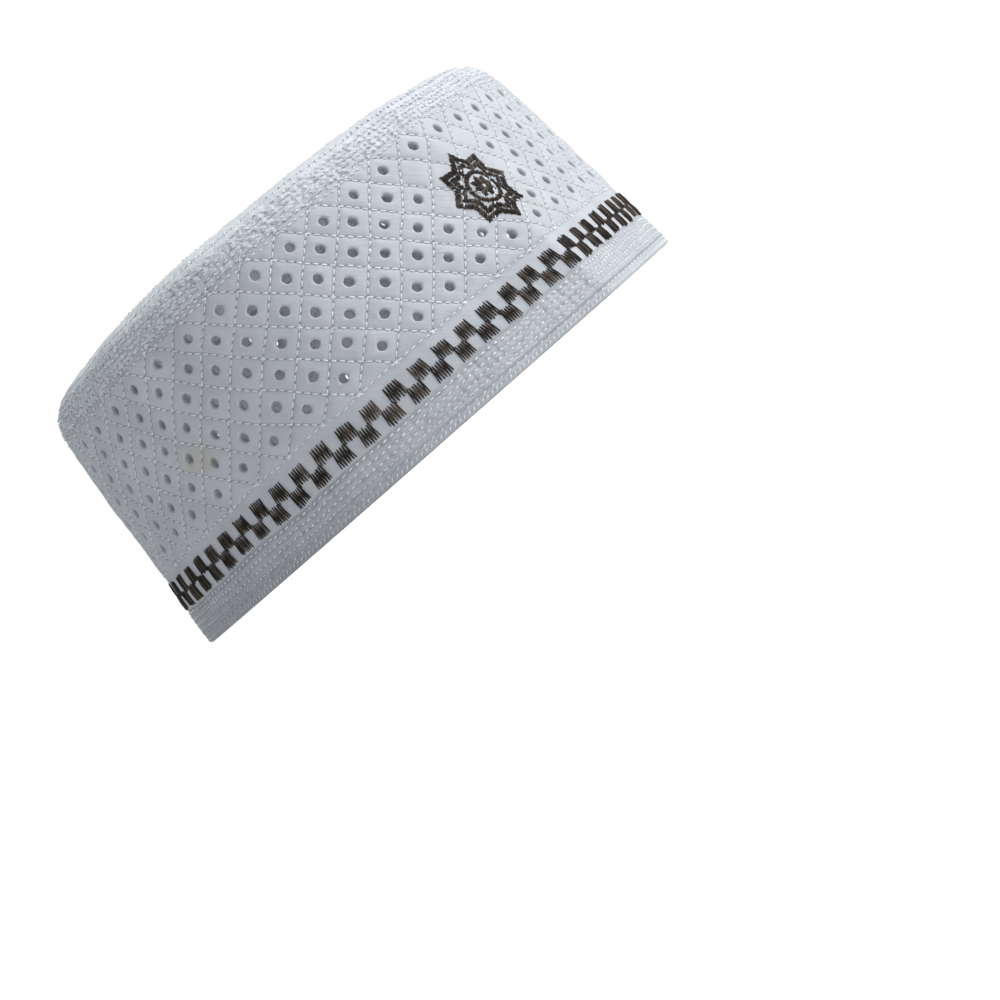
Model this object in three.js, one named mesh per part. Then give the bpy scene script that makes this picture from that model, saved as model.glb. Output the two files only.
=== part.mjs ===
// A kufi, the round brimless cap, of white quilted cloth punched with small holes.
// A stitched hem runs round the rim, a border of dark brown checks above it, a lattice of
// quilting with a hole in each diamond up the wall, and a stitched band round the top corner.
// Millimetres, +Z up. The cap stands on its rim at z = 0 and its front faces -Y.

import * as THREE from "three";

// Outside of the cloth
const rimLength = 182; // front to back at the rim
const rimWidth = 181; // side to side at the rim
const topLength = 144; // front to back where the wall's line reaches the height of the crown
const topWidth = 167; // side to side at the same height
const capHeight = 83; // rim to the edge of the crown
const cornerDrop = 10.5; // height of the rounded top corner
const cornerReach = 14; // how far the rounded corner runs in over the top
const cornerSteps = 3; // facets up the corner
const crownRise = 2.5; // dome of the crown over its edge
const crownRingShare = 0.5; // place of the crown's one inner ring, from its middle to its edge

// Cloth and joins
const wallThickness = 1.7;
const hemThickness = 2.5;
const hemHeight = 11.2;
const hemRounding = 0.7; // rounding of the folded edge
const topBandHeight = 11;
const seamGap = 0.3; // clearance between neighbouring pieces

// Checked border
const checkCount = 64; // pairs of checks round the cap
const checkHeight = 4.7;
const checkOverlap = 0.45; // height that the two rows of checks share
const checkMargin = 0.55; // plain cloth between the wall's lower edge and the checks
const threadRelief = 0.5; // height of the embroidery over the cloth

// Quilted lattice
const latticeMargin = 3; // plain cloth between the checks and the lattice
const latticeColumns = 42; // diamonds round the cap
const latticeRows = 8; // half diamonds up the wall
const holeDiameter = 2.9;
const holeSides = 6;
const puffHeight = 0.5; // how far the middle of a diamond stands out
const punchedRowStep = 2; // every second row of diamonds is cut through

// Star on the front
const starRadius = 13;
const starWaist = 0.74; // inner corners, as a share of the radius
const starPoints = 8;
const starHeight = 45.5; // centre over the rim
const plainPatchRadius = 17.9; // no holes this near the middle of the plain patch
const plainPatchHeight = 49;

// Degrees that the outline turns in each eighth of the way from the front to the back. The rows
// run from the front to the side and are mirrored to the back. What is missing from the half
// turn is the crease, half of it at the front and half at the back.
const outlineTurns = [
  { stretch: "beside the crease", rim: 3.9, top: 12.0 },
  { stretch: "cheek", rim: 14.2, top: 17.7 },
  { stretch: "shoulder", rim: 35.7, top: 38.2 },
  { stretch: "side", rim: 18.5, top: 19.2 },
];

// Heights that follow from the sizes
const wallBottom = hemHeight + seamGap;
const checkBottom = wallBottom + checkMargin;
const checkTop = checkBottom + 2 * checkHeight - checkOverlap;
const latticeBottom = checkTop + latticeMargin;
const latticeTop = capHeight - topBandHeight;
const rowHeight = (latticeTop - latticeBottom) / latticeRows;
const halfColumns = 2 * latticeColumns;

// Outline of the cap as a closed curve. Its place is a share of the way round: 0 is the front,
// 0.25 the -X side and 0.5 the back.
function makeOutline(length, width, column) {
  const turns = [...outlineTurns, ...outlineTurns.toReversed()].map((row) => row[column]);
  const crease = (180 - turns.reduce((sum, turn) => sum + turn, 0)) / 2;
  const samplesPerTurn = 84;
  const points = [new THREE.Vector2(0, 0)];
  let heading = THREE.MathUtils.degToRad(180 - crease);
  for (const turn of turns) {
    const step = THREE.MathUtils.degToRad(turn) / samplesPerTurn;
    for (let i = 0; i < samplesPerTurn; i += 1) {
      const last = points[points.length - 1];
      const middle = heading - step / 2;
      points.push(new THREE.Vector2(last.x + Math.cos(middle), last.y + Math.sin(middle)));
      heading -= step;
    }
  }
  const depth = points[points.length - 1].y;
  const reach = Math.max(...points.map((point) => -point.x));
  const half = points.map(
    (point) => new THREE.Vector2((point.x * width) / (2 * reach), (point.y / depth - 0.5) * length),
  );
  return function at(share) {
    const turned = share - Math.floor(share);
    const mirrored = turned > 0.5;
    const place = (mirrored ? 1 - turned : turned) * 2 * (half.length - 1);
    const index = Math.min(Math.floor(place), half.length - 2);
    const point = half[index].clone().lerp(half[index + 1], place - index);
    if (mirrored) {
      point.x *= -1;
    }
    return point;
  };
}

const rimOutline = makeOutline(rimLength, rimWidth, "rim");
const topOutline = makeOutline(topLength, topWidth, "top");

// Length round the rim, which turns sizes along the wall into shares of the way round.
const perimeter = (() => {
  let length = 0;
  for (let step = 0; step < halfColumns; step += 1) {
    length += rimOutline(step / halfColumns).distanceTo(rimOutline((step + 1) / halfColumns));
  }
  return length;
})();

// Point of the wall at a share of the way round and a height, moved in from the outside.
function wallPoint(share, height, inward) {
  const climb = height / capHeight;
  const outline = (place) => rimOutline(place).lerp(topOutline(place), climb);
  const nearby = 0.001;
  const along = outline(share + nearby).sub(outline(share - nearby)).normalize();
  const point = outline(share);
  return new THREE.Vector3(point.x + along.y * inward, point.y - along.x * inward, height);
}

function solidFrom(positions, faces) {
  const geometry = new THREE.BufferGeometry();
  const numbers = positions.flatMap((position) => position.toArray());
  geometry.setAttribute("position", new THREE.Float32BufferAttribute(numbers, 3));
  geometry.setIndex(faces.flat());
  geometry.computeVertexNormals();
  return geometry;
}

// Closed ring: a profile of { inward, height } swept round the cap. The profile goes up the
// outside and down the inside.
function ringAround(profile, steps) {
  const positions = [];
  const faces = [];
  for (let step = 0; step < steps; step += 1) {
    for (const { inward, height } of profile) {
      positions.push(wallPoint(step / steps, height, inward));
    }
  }
  const count = profile.length;
  for (let step = 0; step < steps; step += 1) {
    const next = (step + 1) % steps;
    for (let i = 0; i < count; i += 1) {
      const j = (i + 1) % count;
      faces.push([step * count + i, step * count + j, next * count + j]);
      faces.push([step * count + i, next * count + j, next * count + i]);
    }
  }
  return solidFrom(positions, faces);
}

// Flat drawing on the unrolled wall. Each corner has its share of the way round, its height and
// how far the outer face is lifted there, and the triangles go round anticlockwise with the
// share to the right.
class Drawing {
  constructor() {
    this.corners = [];
    this.places = new Map();
    this.triangles = [];
  }

  corner(share, height, lift = 0) {
    const turned = Math.round((share - Math.floor(share)) * 1e7) % 1e7;
    const key = `${turned} ${Math.round(height * 1e4)}`;
    if (!this.places.has(key)) {
      this.places.set(key, this.corners.length);
      this.corners.push({ share, height, lift });
    }
    return this.places.get(key);
  }

  face(...ring) {
    for (let i = 1; i < ring.length - 1; i += 1) {
      this.triangles.push([ring[0], ring[i], ring[i + 1]]);
    }
  }

  // Gives the drawing a thickness: an outer face, an inner face and walls round its edges.
  thicken(outerInward, innerInward) {
    const count = this.corners.length;
    const outer = this.corners.map((c) => wallPoint(c.share, c.height, outerInward - c.lift));
    const inner = this.corners.map((c) => wallPoint(c.share, c.height, innerInward));
    const faces = [];
    const edges = new Set();
    for (const [a, b, c] of this.triangles) {
      faces.push([a, c, b]);
      faces.push([a + count, b + count, c + count]);
      for (const edge of [[a, b], [b, c], [c, a]]) {
        edges.add(edge.join(" "));
      }
    }
    for (const edge of edges) {
      const [a, b] = edge.split(" ").map(Number);
      if (!edges.has(`${b} ${a}`)) {
        faces.push([a, b, b + count]);
        faces.push([a, b + count, a + count]);
      }
    }
    return solidFrom([...outer, ...inner], faces);
  }
}

// Distance along the wall from a point of the front crease.
function distanceOnFront(column, height, fromHeight) {
  const sideways = (Math.min(column, halfColumns - column) / halfColumns) * perimeter;
  return Math.hypot(sideways, height - fromHeight);
}

// The star's patch of cloth has no holes.
function isPunched(column, height) {
  return distanceOnFront(column, height, plainPatchHeight) > plainPatchRadius;
}

// A diamond of the lattice, with a hole or with a raised middle.
function addDiamond(drawing, column, row) {
  const at = (c, r) => drawing.corner(c / halfColumns, latticeBottom + r * rowHeight);
  const [left, right] = [at(column - 1, row), at(column + 1, row)];
  const [top, bottom] = [at(column, row + 1), at(column, row - 1)];
  const height = latticeBottom + row * rowHeight;
  if (row % punchedRowStep !== 0 || !isPunched(column, height)) {
    const underStar = distanceOnFront(column, height, starHeight) < starRadius + rowHeight;
    const middle = drawing.corner(column / halfColumns, height, underStar ? 0 : puffHeight);
    for (const [from, to] of [[left, bottom], [bottom, right], [right, top], [top, left]]) {
      drawing.face(from, to, middle);
    }
    return;
  }
  const rim = [];
  for (let side = 0; side < holeSides; side += 1) {
    const angle = Math.PI / 2 + (side * 2 * Math.PI) / holeSides;
    const sideways = (Math.cos(angle) * holeDiameter) / 2 / perimeter;
    const upwards = (Math.sin(angle) * holeDiameter) / 2;
    rim.push(drawing.corner(column / halfColumns + sideways, height + upwards, puffHeight));
  }
  const corners = [top, left, bottom, right];
  for (let side = 0; side < holeSides; side += 1) {
    const nearest = Math.round((side * 4) / holeSides);
    const nextNearest = Math.round(((side + 1) * 4) / holeSides);
    for (let corner = nearest; corner < nextNearest; corner += 1) {
      drawing.face(corners[corner % 4], corners[(corner + 1) % 4], rim[side]);
    }
    drawing.face(corners[nextNearest % 4], rim[(side + 1) % holeSides], rim[side]);
  }
}

// Quilted wall: a plain strip behind the checks and the lattice above it.
function sideBand() {
  const drawing = new Drawing();
  const at = (column, height) => drawing.corner(column / halfColumns, height);
  const firstRow = latticeBottom + rowHeight;
  const lastRow = latticeTop - rowHeight;
  for (let column = 0; column < halfColumns; column += 1) {
    const next = column + 1;
    drawing.face(
      at(column, wallBottom),
      at(next, wallBottom),
      at(next, latticeBottom),
      at(column, latticeBottom),
    );
    const lowNode = column % 2 === 0 ? column : next;
    const highNode = (column + latticeRows) % 2 === 0 ? column : next;
    drawing.face(at(column, latticeBottom), at(next, latticeBottom), at(lowNode, firstRow));
    drawing.face(at(column, latticeTop), at(highNode, lastRow), at(next, latticeTop));
    for (let row = 1; row < latticeRows; row += 1) {
      if ((column + row) % 2 === 0) {
        addDiamond(drawing, column, row);
      }
    }
  }
  return drawing.thicken(0, wallThickness);
}

// Folded and stitched ring round the rim, flat where it rests.
function hemBand() {
  const outside = (wallThickness - hemThickness) / 2;
  const inside = outside + hemThickness;
  return ringAround(
    [
      { inward: outside + hemRounding, height: 0 },
      { inward: outside, height: hemRounding },
      { inward: outside, height: hemHeight - hemRounding },
      { inward: 0, height: hemHeight },
      { inward: wallThickness, height: hemHeight },
      { inward: inside, height: hemHeight - hemRounding },
      { inward: inside, height: hemRounding },
      { inward: inside - hemRounding, height: 0 },
    ],
    halfColumns,
  );
}

// Stitched band that carries the wall round the corner to the crown.
function topBand() {
  const cornerStart = capHeight - cornerDrop;
  const outside = [];
  const inside = [];
  for (let step = 0; step <= cornerSteps; step += 1) {
    const angle = ((step / cornerSteps) * Math.PI) / 2;
    for (const [side, depth] of [[outside, 0], [inside, wallThickness]]) {
      side.push({
        inward: cornerReach - (cornerReach - depth) * Math.cos(angle),
        height: cornerStart + (cornerDrop - depth) * Math.sin(angle),
      });
    }
  }
  inside.reverse();
  const start = latticeTop + seamGap;
  return ringAround(
    [{ inward: 0, height: start }, ...outside, ...inside, { inward: wallThickness, height: start }],
    halfColumns,
  );
}

// Oval panel that closes the top, slightly domed.
function crownPanel() {
  const edge = cornerReach + seamGap;
  const rings = [
    { share: 1, steps: halfColumns },
    { share: crownRingShare, steps: latticeColumns },
  ];
  const positions = [];
  const starts = [];
  for (const depth of [0, wallThickness]) {
    for (const { share, steps } of rings) {
      starts.push(positions.length);
      for (let step = 0; step < steps; step += 1) {
        const point = wallPoint(step / steps, capHeight, edge);
        const height = capHeight + crownRise * (1 - share * share) - depth;
        positions.push(new THREE.Vector3(point.x * share, point.y * share, height));
      }
    }
    positions.push(new THREE.Vector3(0, 0, capHeight + crownRise - depth));
  }
  const faces = [];
  const [outerEdge, outerRing, innerEdge, innerRing] = starts;
  const outerMiddle = innerEdge - 1;
  const innerMiddle = positions.length - 1;
  const add = (a, b, c) => {
    faces.push([a, b, c]);
  };
  for (let step = 0; step < latticeColumns; step += 1) {
    const next = (step + 1) % latticeColumns;
    const [first, second, third] = [2 * step, 2 * step + 1, (2 * step + 2) % halfColumns];
    add(outerEdge + first, outerRing + step, outerEdge + second);
    add(outerEdge + second, outerRing + step, outerRing + next);
    add(outerEdge + second, outerRing + next, outerEdge + third);
    add(outerRing + step, outerMiddle, outerRing + next);
    add(innerEdge + first, innerEdge + second, innerRing + step);
    add(innerEdge + second, innerRing + next, innerRing + step);
    add(innerEdge + second, innerEdge + third, innerRing + next);
    add(innerRing + step, innerRing + next, innerMiddle);
    for (const [a, b] of [[first, second], [second, third]]) {
      add(outerEdge + a, outerEdge + b, innerEdge + b);
      add(outerEdge + a, innerEdge + b, innerEdge + a);
    }
  }
  return solidFrom(positions, faces);
}

// Two staggered rows of satin-stitched checks, joined where they touch.
function checkBorder() {
  const drawing = new Drawing();
  const joinBottom = checkBottom + checkHeight - checkOverlap;
  const joinTop = checkBottom + checkHeight;
  const addBlock = (from, to, levels) => {
    for (let i = 0; i < levels.length - 1; i += 1) {
      drawing.face(
        drawing.corner(from, levels[i]),
        drawing.corner(to, levels[i]),
        drawing.corner(to, levels[i + 1]),
        drawing.corner(from, levels[i + 1]),
      );
    }
  };
  const lower = [checkBottom, joinBottom, joinTop];
  const upper = [joinBottom, joinTop, checkTop];
  for (let check = 0; check < checkCount; check += 1) {
    const middle = check / checkCount;
    const quarter = 0.25 / checkCount;
    if (2 * check === checkCount || check === 0) {
      addBlock(middle - quarter, middle, lower);
      addBlock(middle, middle + quarter, lower);
    } else {
      addBlock(middle - quarter, middle + quarter, lower);
    }
    addBlock(middle + quarter, middle + 3 * quarter, upper);
  }
  return drawing.thicken(-seamGap - threadRelief, -seamGap);
}

// Embroidered star that lies over the front crease.
function frontStar() {
  const drawing = new Drawing();
  const middle = drawing.corner(0, starHeight);
  const tips = [];
  for (let i = 0; i < 2 * starPoints; i += 1) {
    const angle = Math.PI / 2 + (i * Math.PI) / starPoints;
    const radius = i % 2 === 0 ? starRadius : starRadius * starWaist;
    tips.push(
      drawing.corner((Math.cos(angle) * radius) / perimeter, starHeight + Math.sin(angle) * radius),
    );
  }
  for (let i = 0; i < tips.length; i += 1) {
    drawing.face(middle, tips[i], tips[(i + 1) % tips.length]);
  }
  return drawing.thicken(-seamGap - threadRelief, -seamGap);
}

const clothMaterial = new THREE.MeshStandardMaterial({ color: 0xdfe3e8, roughness: 0.82, metalness: 0 });
const stitchedMaterial = new THREE.MeshStandardMaterial({ color: 0xe6eaee, roughness: 0.9, metalness: 0 });
const threadMaterial = new THREE.MeshStandardMaterial({ color: 0x3a302c, roughness: 0.55, metalness: 0 });

const pieces = [
  { name: "side_band", geometry: sideBand(), material: clothMaterial },
  { name: "hem_band", geometry: hemBand(), material: stitchedMaterial },
  { name: "top_band", geometry: topBand(), material: stitchedMaterial },
  { name: "crown_panel", geometry: crownPanel(), material: clothMaterial },
  { name: "check_border", geometry: checkBorder(), material: threadMaterial },
  { name: "front_star", geometry: frontStar(), material: threadMaterial },
];

const kufi = new THREE.Group();
for (const { name, geometry, material } of pieces) {
  const mesh = new THREE.Mesh(geometry, material);
  mesh.name = name;
  kufi.add(mesh);
}

export default kufi;
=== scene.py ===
"""A kufi of white quilted cloth, punched with small holes, with brown satin-stitched checks.

Each piece is first drawn flat, as cloth is cut: X runs round the cap from the front crease,
Y climbs from the rim, round the top corner and in over the crown, and Z stands off the cloth.
One Geometry Nodes group then lays every flat drawing on the cap.
"""

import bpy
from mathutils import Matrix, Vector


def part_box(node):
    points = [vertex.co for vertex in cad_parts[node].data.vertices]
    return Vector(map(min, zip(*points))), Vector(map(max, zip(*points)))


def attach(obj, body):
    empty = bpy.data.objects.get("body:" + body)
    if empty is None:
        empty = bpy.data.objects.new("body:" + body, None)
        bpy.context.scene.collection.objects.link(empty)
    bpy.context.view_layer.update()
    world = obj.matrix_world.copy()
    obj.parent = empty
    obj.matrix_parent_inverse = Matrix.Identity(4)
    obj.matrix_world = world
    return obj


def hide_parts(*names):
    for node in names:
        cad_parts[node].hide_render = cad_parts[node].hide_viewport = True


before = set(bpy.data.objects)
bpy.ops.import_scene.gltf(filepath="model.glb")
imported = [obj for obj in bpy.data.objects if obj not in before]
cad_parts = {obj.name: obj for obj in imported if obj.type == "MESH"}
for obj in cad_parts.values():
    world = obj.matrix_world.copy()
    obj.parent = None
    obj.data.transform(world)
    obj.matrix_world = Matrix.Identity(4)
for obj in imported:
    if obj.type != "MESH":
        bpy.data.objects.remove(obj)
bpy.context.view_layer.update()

import math
import random

import bpy
import numpy as np
from bpy.props import FloatProperty, FloatVectorProperty, IntProperty, PointerProperty
from mathutils import Quaternion, Vector

bl_info = {
    "name": "Quilted kufi",
    "version": (1, 0, 0),
    "blender": (4, 5, 0),
    "location": "3D View > Sidebar > Kufi",
    "description": "Builds a punched and quilted kufi with stitched bands and embroidery",
    "category": "Add Mesh",
}

MM = 0.001
WELD = 0.02 * MM
CORNER_ARC_SHARE = 0.79  # length of an ellipse's quarter over the sum of its half axes
STRIP_ABOVE_CHECKS = 3  # millimetres of plain cloth between the checks and the lattice


def size(name, description, millimetres):
    """A length that the sidebar shows as a distance."""
    return FloatProperty(
        name=name,
        description=description,
        default=millimetres * MM,
        unit="LENGTH",
        subtype="DISTANCE",
        precision=5,
    )


def colour(name, description, red, green, blue):
    """A linear colour."""
    return FloatVectorProperty(
        name=name,
        description=description,
        default=(red, green, blue),
        size=3,
        subtype="COLOR",
        min=0,
        max=1,
    )


def height_of(node, corner):
    """Height of a solid's lower (0) or upper (1) corner, in millimetres."""
    return round(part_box(node)[corner][2] / MM, 3)


class KufiShape(bpy.types.PropertyGroup):
    """Outline and cloth of the cap."""

    rim_length: size("Rim length", "Front to back at the rim", 182)
    rim_width: size("Rim width", "Side to side at the rim", 181)
    top_length: size("Top length", "Front to back where the wall's line meets the crown", 144)
    top_width: size("Top width", "Side to side at the same height", 167)
    height: size("Height", "Rim to the edge of the crown", height_of("top_band", 1))
    corner_drop: size("Corner drop", "Height of the rounded top corner", 10.5)
    corner_reach: size("Corner reach", "How far the corner runs in over the top", 14)
    crown_rise: size("Crown rise", "Dome of the crown over its edge", 2.5)
    crown_span: size("Crown span", "Cloth from the corner to the middle of the crown", 62)
    crease: size("Crease", "How far the front and back creases are rounded", 1.6)
    wall: size("Wall", "Thickness of the quilted cloth", 1.7)
    hem: size("Hem", "Thickness of the folded hem", 2.5)
    hem_height: size("Hem height", "Rim to the top of the hem", 11.35)
    waviness: size("Waviness", "How far the cloth strays in and out by itself", 0.9)
    drift: size("Drift", "How far the seams stray from their lines", 0.5)
    pucker: size("Pucker", "Height of the small wrinkles that the stitching draws", 0.5)
    crumple: size("Crumple", "Height of the crumples in the top band", 1.2)


class KufiQuilting(bpy.types.PropertyGroup):
    """Lattice of quilting, its holes and its stitches."""

    columns: IntProperty(name="Columns", description="Diamonds round the cap", default=42, min=4)
    rows: IntProperty(name="Rows", description="Half diamonds up the wall", default=8, min=2)
    bottom: size(
        "Bottom", "Height of the lattice's foot", height_of("check_border", 1) + STRIP_ABOVE_CHECKS
    )
    top: size("Top", "Height of the lattice's upper edge", height_of("side_band", 1))
    puff: size("Puff", "How far the cloth swells between the seams", 0.5)
    valley: size("Valley", "Width of the valley at a seam", 0.6)
    hole: size("Hole", "Diameter of a punched hole", 2.9)
    patch_radius: size("Patch radius", "No holes this near the middle of the plain patch", 17.9)
    patch_height: size("Patch height", "Height of the plain patch's middle", 49)
    pitch: size("Pitch", "From one quilting stitch to the next", 2.4)
    stitch: size("Stitch", "Length of a quilting stitch", 1.75)
    thread: size("Thread", "Width of a white stitch", 0.45)


class KufiEmbroidery(bpy.types.PropertyGroup):
    """Satin-stitched checks and star."""

    pairs: IntProperty(name="Pairs", description="Pairs of checks round the cap", default=64, min=4)
    check_height: size("Check height", "Height of one check", 4.8)
    check_width: size("Check width", "Width of one check", 5.2)
    bottom: size("Bottom", "Foot of the lower checks", height_of("check_border", 0))
    top: size("Top", "Head of the upper checks", height_of("check_border", 1))
    thread: size("Thread", "Width of a brown thread", 0.4)
    pitch: size("Pitch", "From one brown thread to the next", 0.43)
    star_radius: size("Star radius", "From the star's middle to its points", 13)
    star_height: size("Star height", "Height of the star's middle", 45.5)
    star_waist: FloatProperty(
        name="Star waist",
        description="Inner corners of the star, as a share of its radius",
        default=0.74,
        subtype="FACTOR",
        min=0.3,
        max=1,
    )
    star_points: IntProperty(name="Star points", description="Points of the star", default=8, min=3)


class KufiColours(bpy.types.PropertyGroup):
    """Colours of the cloth, the threads and the floor."""

    cloth: colour("Cloth", "White quilted cloth", 0.60, 0.625, 0.67)
    shade: colour("Shade", "The cloth where it is a little greyer", 0.55, 0.575, 0.62)
    stitch: colour("Stitch", "White stitching", 0.91, 0.945, 1.0)
    # Seam shade: painted shade that darkens the cloth in the furrows, the needle pits and the
    # corners between pillows.
    seam_shade: colour("Needle", "The cloth in the pits that the needle left", 0.16, 0.165, 0.18)
    brown: colour("Brown", "Embroidery thread", 0.020, 0.012, 0.010)
    olive: colour("Olive brown", "Embroidery thread that leans to olive", 0.021, 0.018, 0.010)
    # Pale brown is a painted highlight: paler threads stand in for the light caught by some
    # threads.
    pale_highlight: colour("Pale brown", "Embroidery thread where it is worn paler", 0.15, 0.11, 0.085)
    stain: colour("Stain", "Faint brownish mark on the left side", 0.52, 0.48, 0.42)
    floor: colour("Floor", "Studio floor", 0.85, 0.85, 0.85)


class KufiStage(bpy.types.PropertyGroup):
    """Camera and lights."""

    azimuth: FloatProperty(
        name="Azimuth",
        description="Turn of the camera from the front",
        default=math.radians(-42.67),
        subtype="ANGLE",
    )
    roll: FloatProperty(
        name="Roll",
        description="Turn of the camera about its own line of sight",
        default=math.radians(41.24),
        subtype="ANGLE",
    )
    distance: size("Distance", "From the aim to the camera, along the floor", 746.3)
    camera_height: size("Camera height", "Camera over the floor", 4)
    aim: FloatVectorProperty(
        name="Aim",
        description="Point at the middle of the picture",
        default=(-0.0011, -0.0026, -0.0247),
        size=3,
        subtype="TRANSLATION",
        unit="LENGTH",
    )
    lens: FloatProperty(name="Lens", description="Focal length in mm", default=90, min=1)
    key: FloatProperty(name="Key light", description="Watts of the key light", default=17, min=0)
    top: FloatProperty(name="Top light", description="Watts of the light above", default=4, min=0)
    inner_glow: FloatProperty(
        name="Inner glow",
        description="Watts of the small light under the cap, which keeps the holes grey",
        default=0.016,
        min=0,
    )
    sky_dim: FloatProperty(
        name="Dim sky", description="Strength of the studio's far side", default=0.134, min=0
    )
    sky_bright: FloatProperty(
        name="Bright sky", description="Strength of the studio's lit side", default=0.50, min=0
    )
    floor_glow: FloatProperty(
        name="Floor glow", description="Light that the floor gives the cap", default=0.13, min=0
    )
    floor_shine: FloatProperty(
        name="Floor shine", description="Whiteness that the camera sees", default=0.75, min=0
    )


def stitch_rows(*rows):
    """Rows of white stitches round the cap, from the rim up.

    Each gives its height, pitch, length and width in millimetres, and its turn in radians. A
    turned stitch lies across its row, as where it catches an edge.
    """
    labels = ("height", "pitch", "length", "width", "turn")
    return tuple(dict(zip(labels, row)) for row in rows)


HEM_ROWS = stitch_rows(
    (1.2, 1.7, 1.7, 0.5, 0.8),
    (2.6, 3.1, 1.5, 0.45, 0.3),
    (4.6, 1.9, 1.5, 0.42, 0.0),
    (6.5, 2.4, 1.4, 0.54, 0.15),
    (8.5, 2.4, 1.4, 0.54, 0.15),
    (10.5, 2.4, 1.4, 0.54, 0.15),
)
TOP_ROWS = stitch_rows(
    (70.6, 2.4, 1.4, 0.46, 0.0),
    (72.3, 2.4, 1.2, 0.42, 0.0),
    (74.1, 2.4, 1.2, 0.42, 0.0),
    (76.0, 2.4, 1.2, 0.42, 0.0),
    (78.0, 2.4, 1.2, 0.42, 0.0),
    (80.0, 2.4, 1.2, 0.42, 0.0),
    (83.2, 2.6, 2.4, 0.42, 1.0),
    (90.5, 2.4, 1.4, 0.46, 0.0),
)
CROWN_ROWS = stitch_rows(
    (94.5, 2.4, 1.5, 0.46, 0.0),
    (96.5, 2.4, 1.5, 0.46, 0.0),
    (108.5, 3.2, 1.9, 0.6, 0.0),
    (120.5, 4.4, 2.6, 0.7, 0.0),
    (132.5, 7.0, 4.2, 0.8, 0.0),
)
LATTICE_FOOT = stitch_rows((24.0, 2.55, 1.6, 0.46, 0.0))


# Outline of the cap


OUTLINE_TURNS = (
    # Degrees that the outline turns in each eighth of the way from the front to the back. The
    # rows run from the front to the side and are mirrored to the back.
    {"rim": 3.9, "top": 12.0},
    {"rim": 14.2, "top": 17.7},
    {"rim": 35.7, "top": 38.2},
    {"rim": 18.5, "top": 19.2},
)
OUTLINE_SAMPLES = 84


def outline_points(long, wide, level, crease):
    """Points of a closed outline from the front by +X to the back and round again."""
    turns = [row[level] for row in OUTLINE_TURNS + OUTLINE_TURNS[::-1]]
    first = math.radians(180 - sum(turns)) / 2
    steps = np.radians(np.repeat(turns, OUTLINE_SAMPLES) / OUTLINE_SAMPLES)
    heading = first + np.cumsum(steps) - steps / 2
    x = np.concatenate([[0], np.cumsum(np.cos(heading))])
    y = np.concatenate([[0], np.cumsum(np.sin(heading))])
    x *= wide / 2 / x.max()
    y = (y / y[-1] - 0.5) * long
    ring = np.concatenate([x + 1j * y, (-x + 1j * y)[-2:0:-1]])
    away = np.arange(len(ring))
    away = np.minimum(away, len(ring) - away) * abs(ring[1] - ring[0])
    weight = np.exp(-((away / crease) ** 2))
    ring = np.fft.ifft(np.fft.fft(ring) * np.fft.fft(weight / weight.sum()))
    return np.stack([ring.real, ring.imag, np.zeros(len(ring))], 1)


def rim_around(shape):
    """Length round the rim."""
    ring = outline_points(shape.rim_length, shape.rim_width, "rim", shape.crease)
    return float(np.linalg.norm(np.roll(ring, -1, 0) - ring, axis=1).sum())


def least_reach(shape):
    """Distance from the middle of the cap to the nearest point of its rim."""
    ring = outline_points(shape.rim_length, shape.rim_width, "rim", shape.crease)
    return float(np.linalg.norm(ring, axis=1).min())


def add_outline(name, points):
    """A closed curve for the laying group to sample. It is no piece, so it isn't in the scene."""
    curve = bpy.data.curves.new(name, "CURVE")
    curve.dimensions = "3D"
    spline = curve.splines.new("POLY")
    spline.points.add(len(points) - 1)
    spline.points.foreach_set("co", np.column_stack([points, np.ones(len(points))]).ravel())
    spline.use_cyclic_u = True
    return bpy.data.objects.new(name, curve)


# Helpers for node trees and meshes


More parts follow.
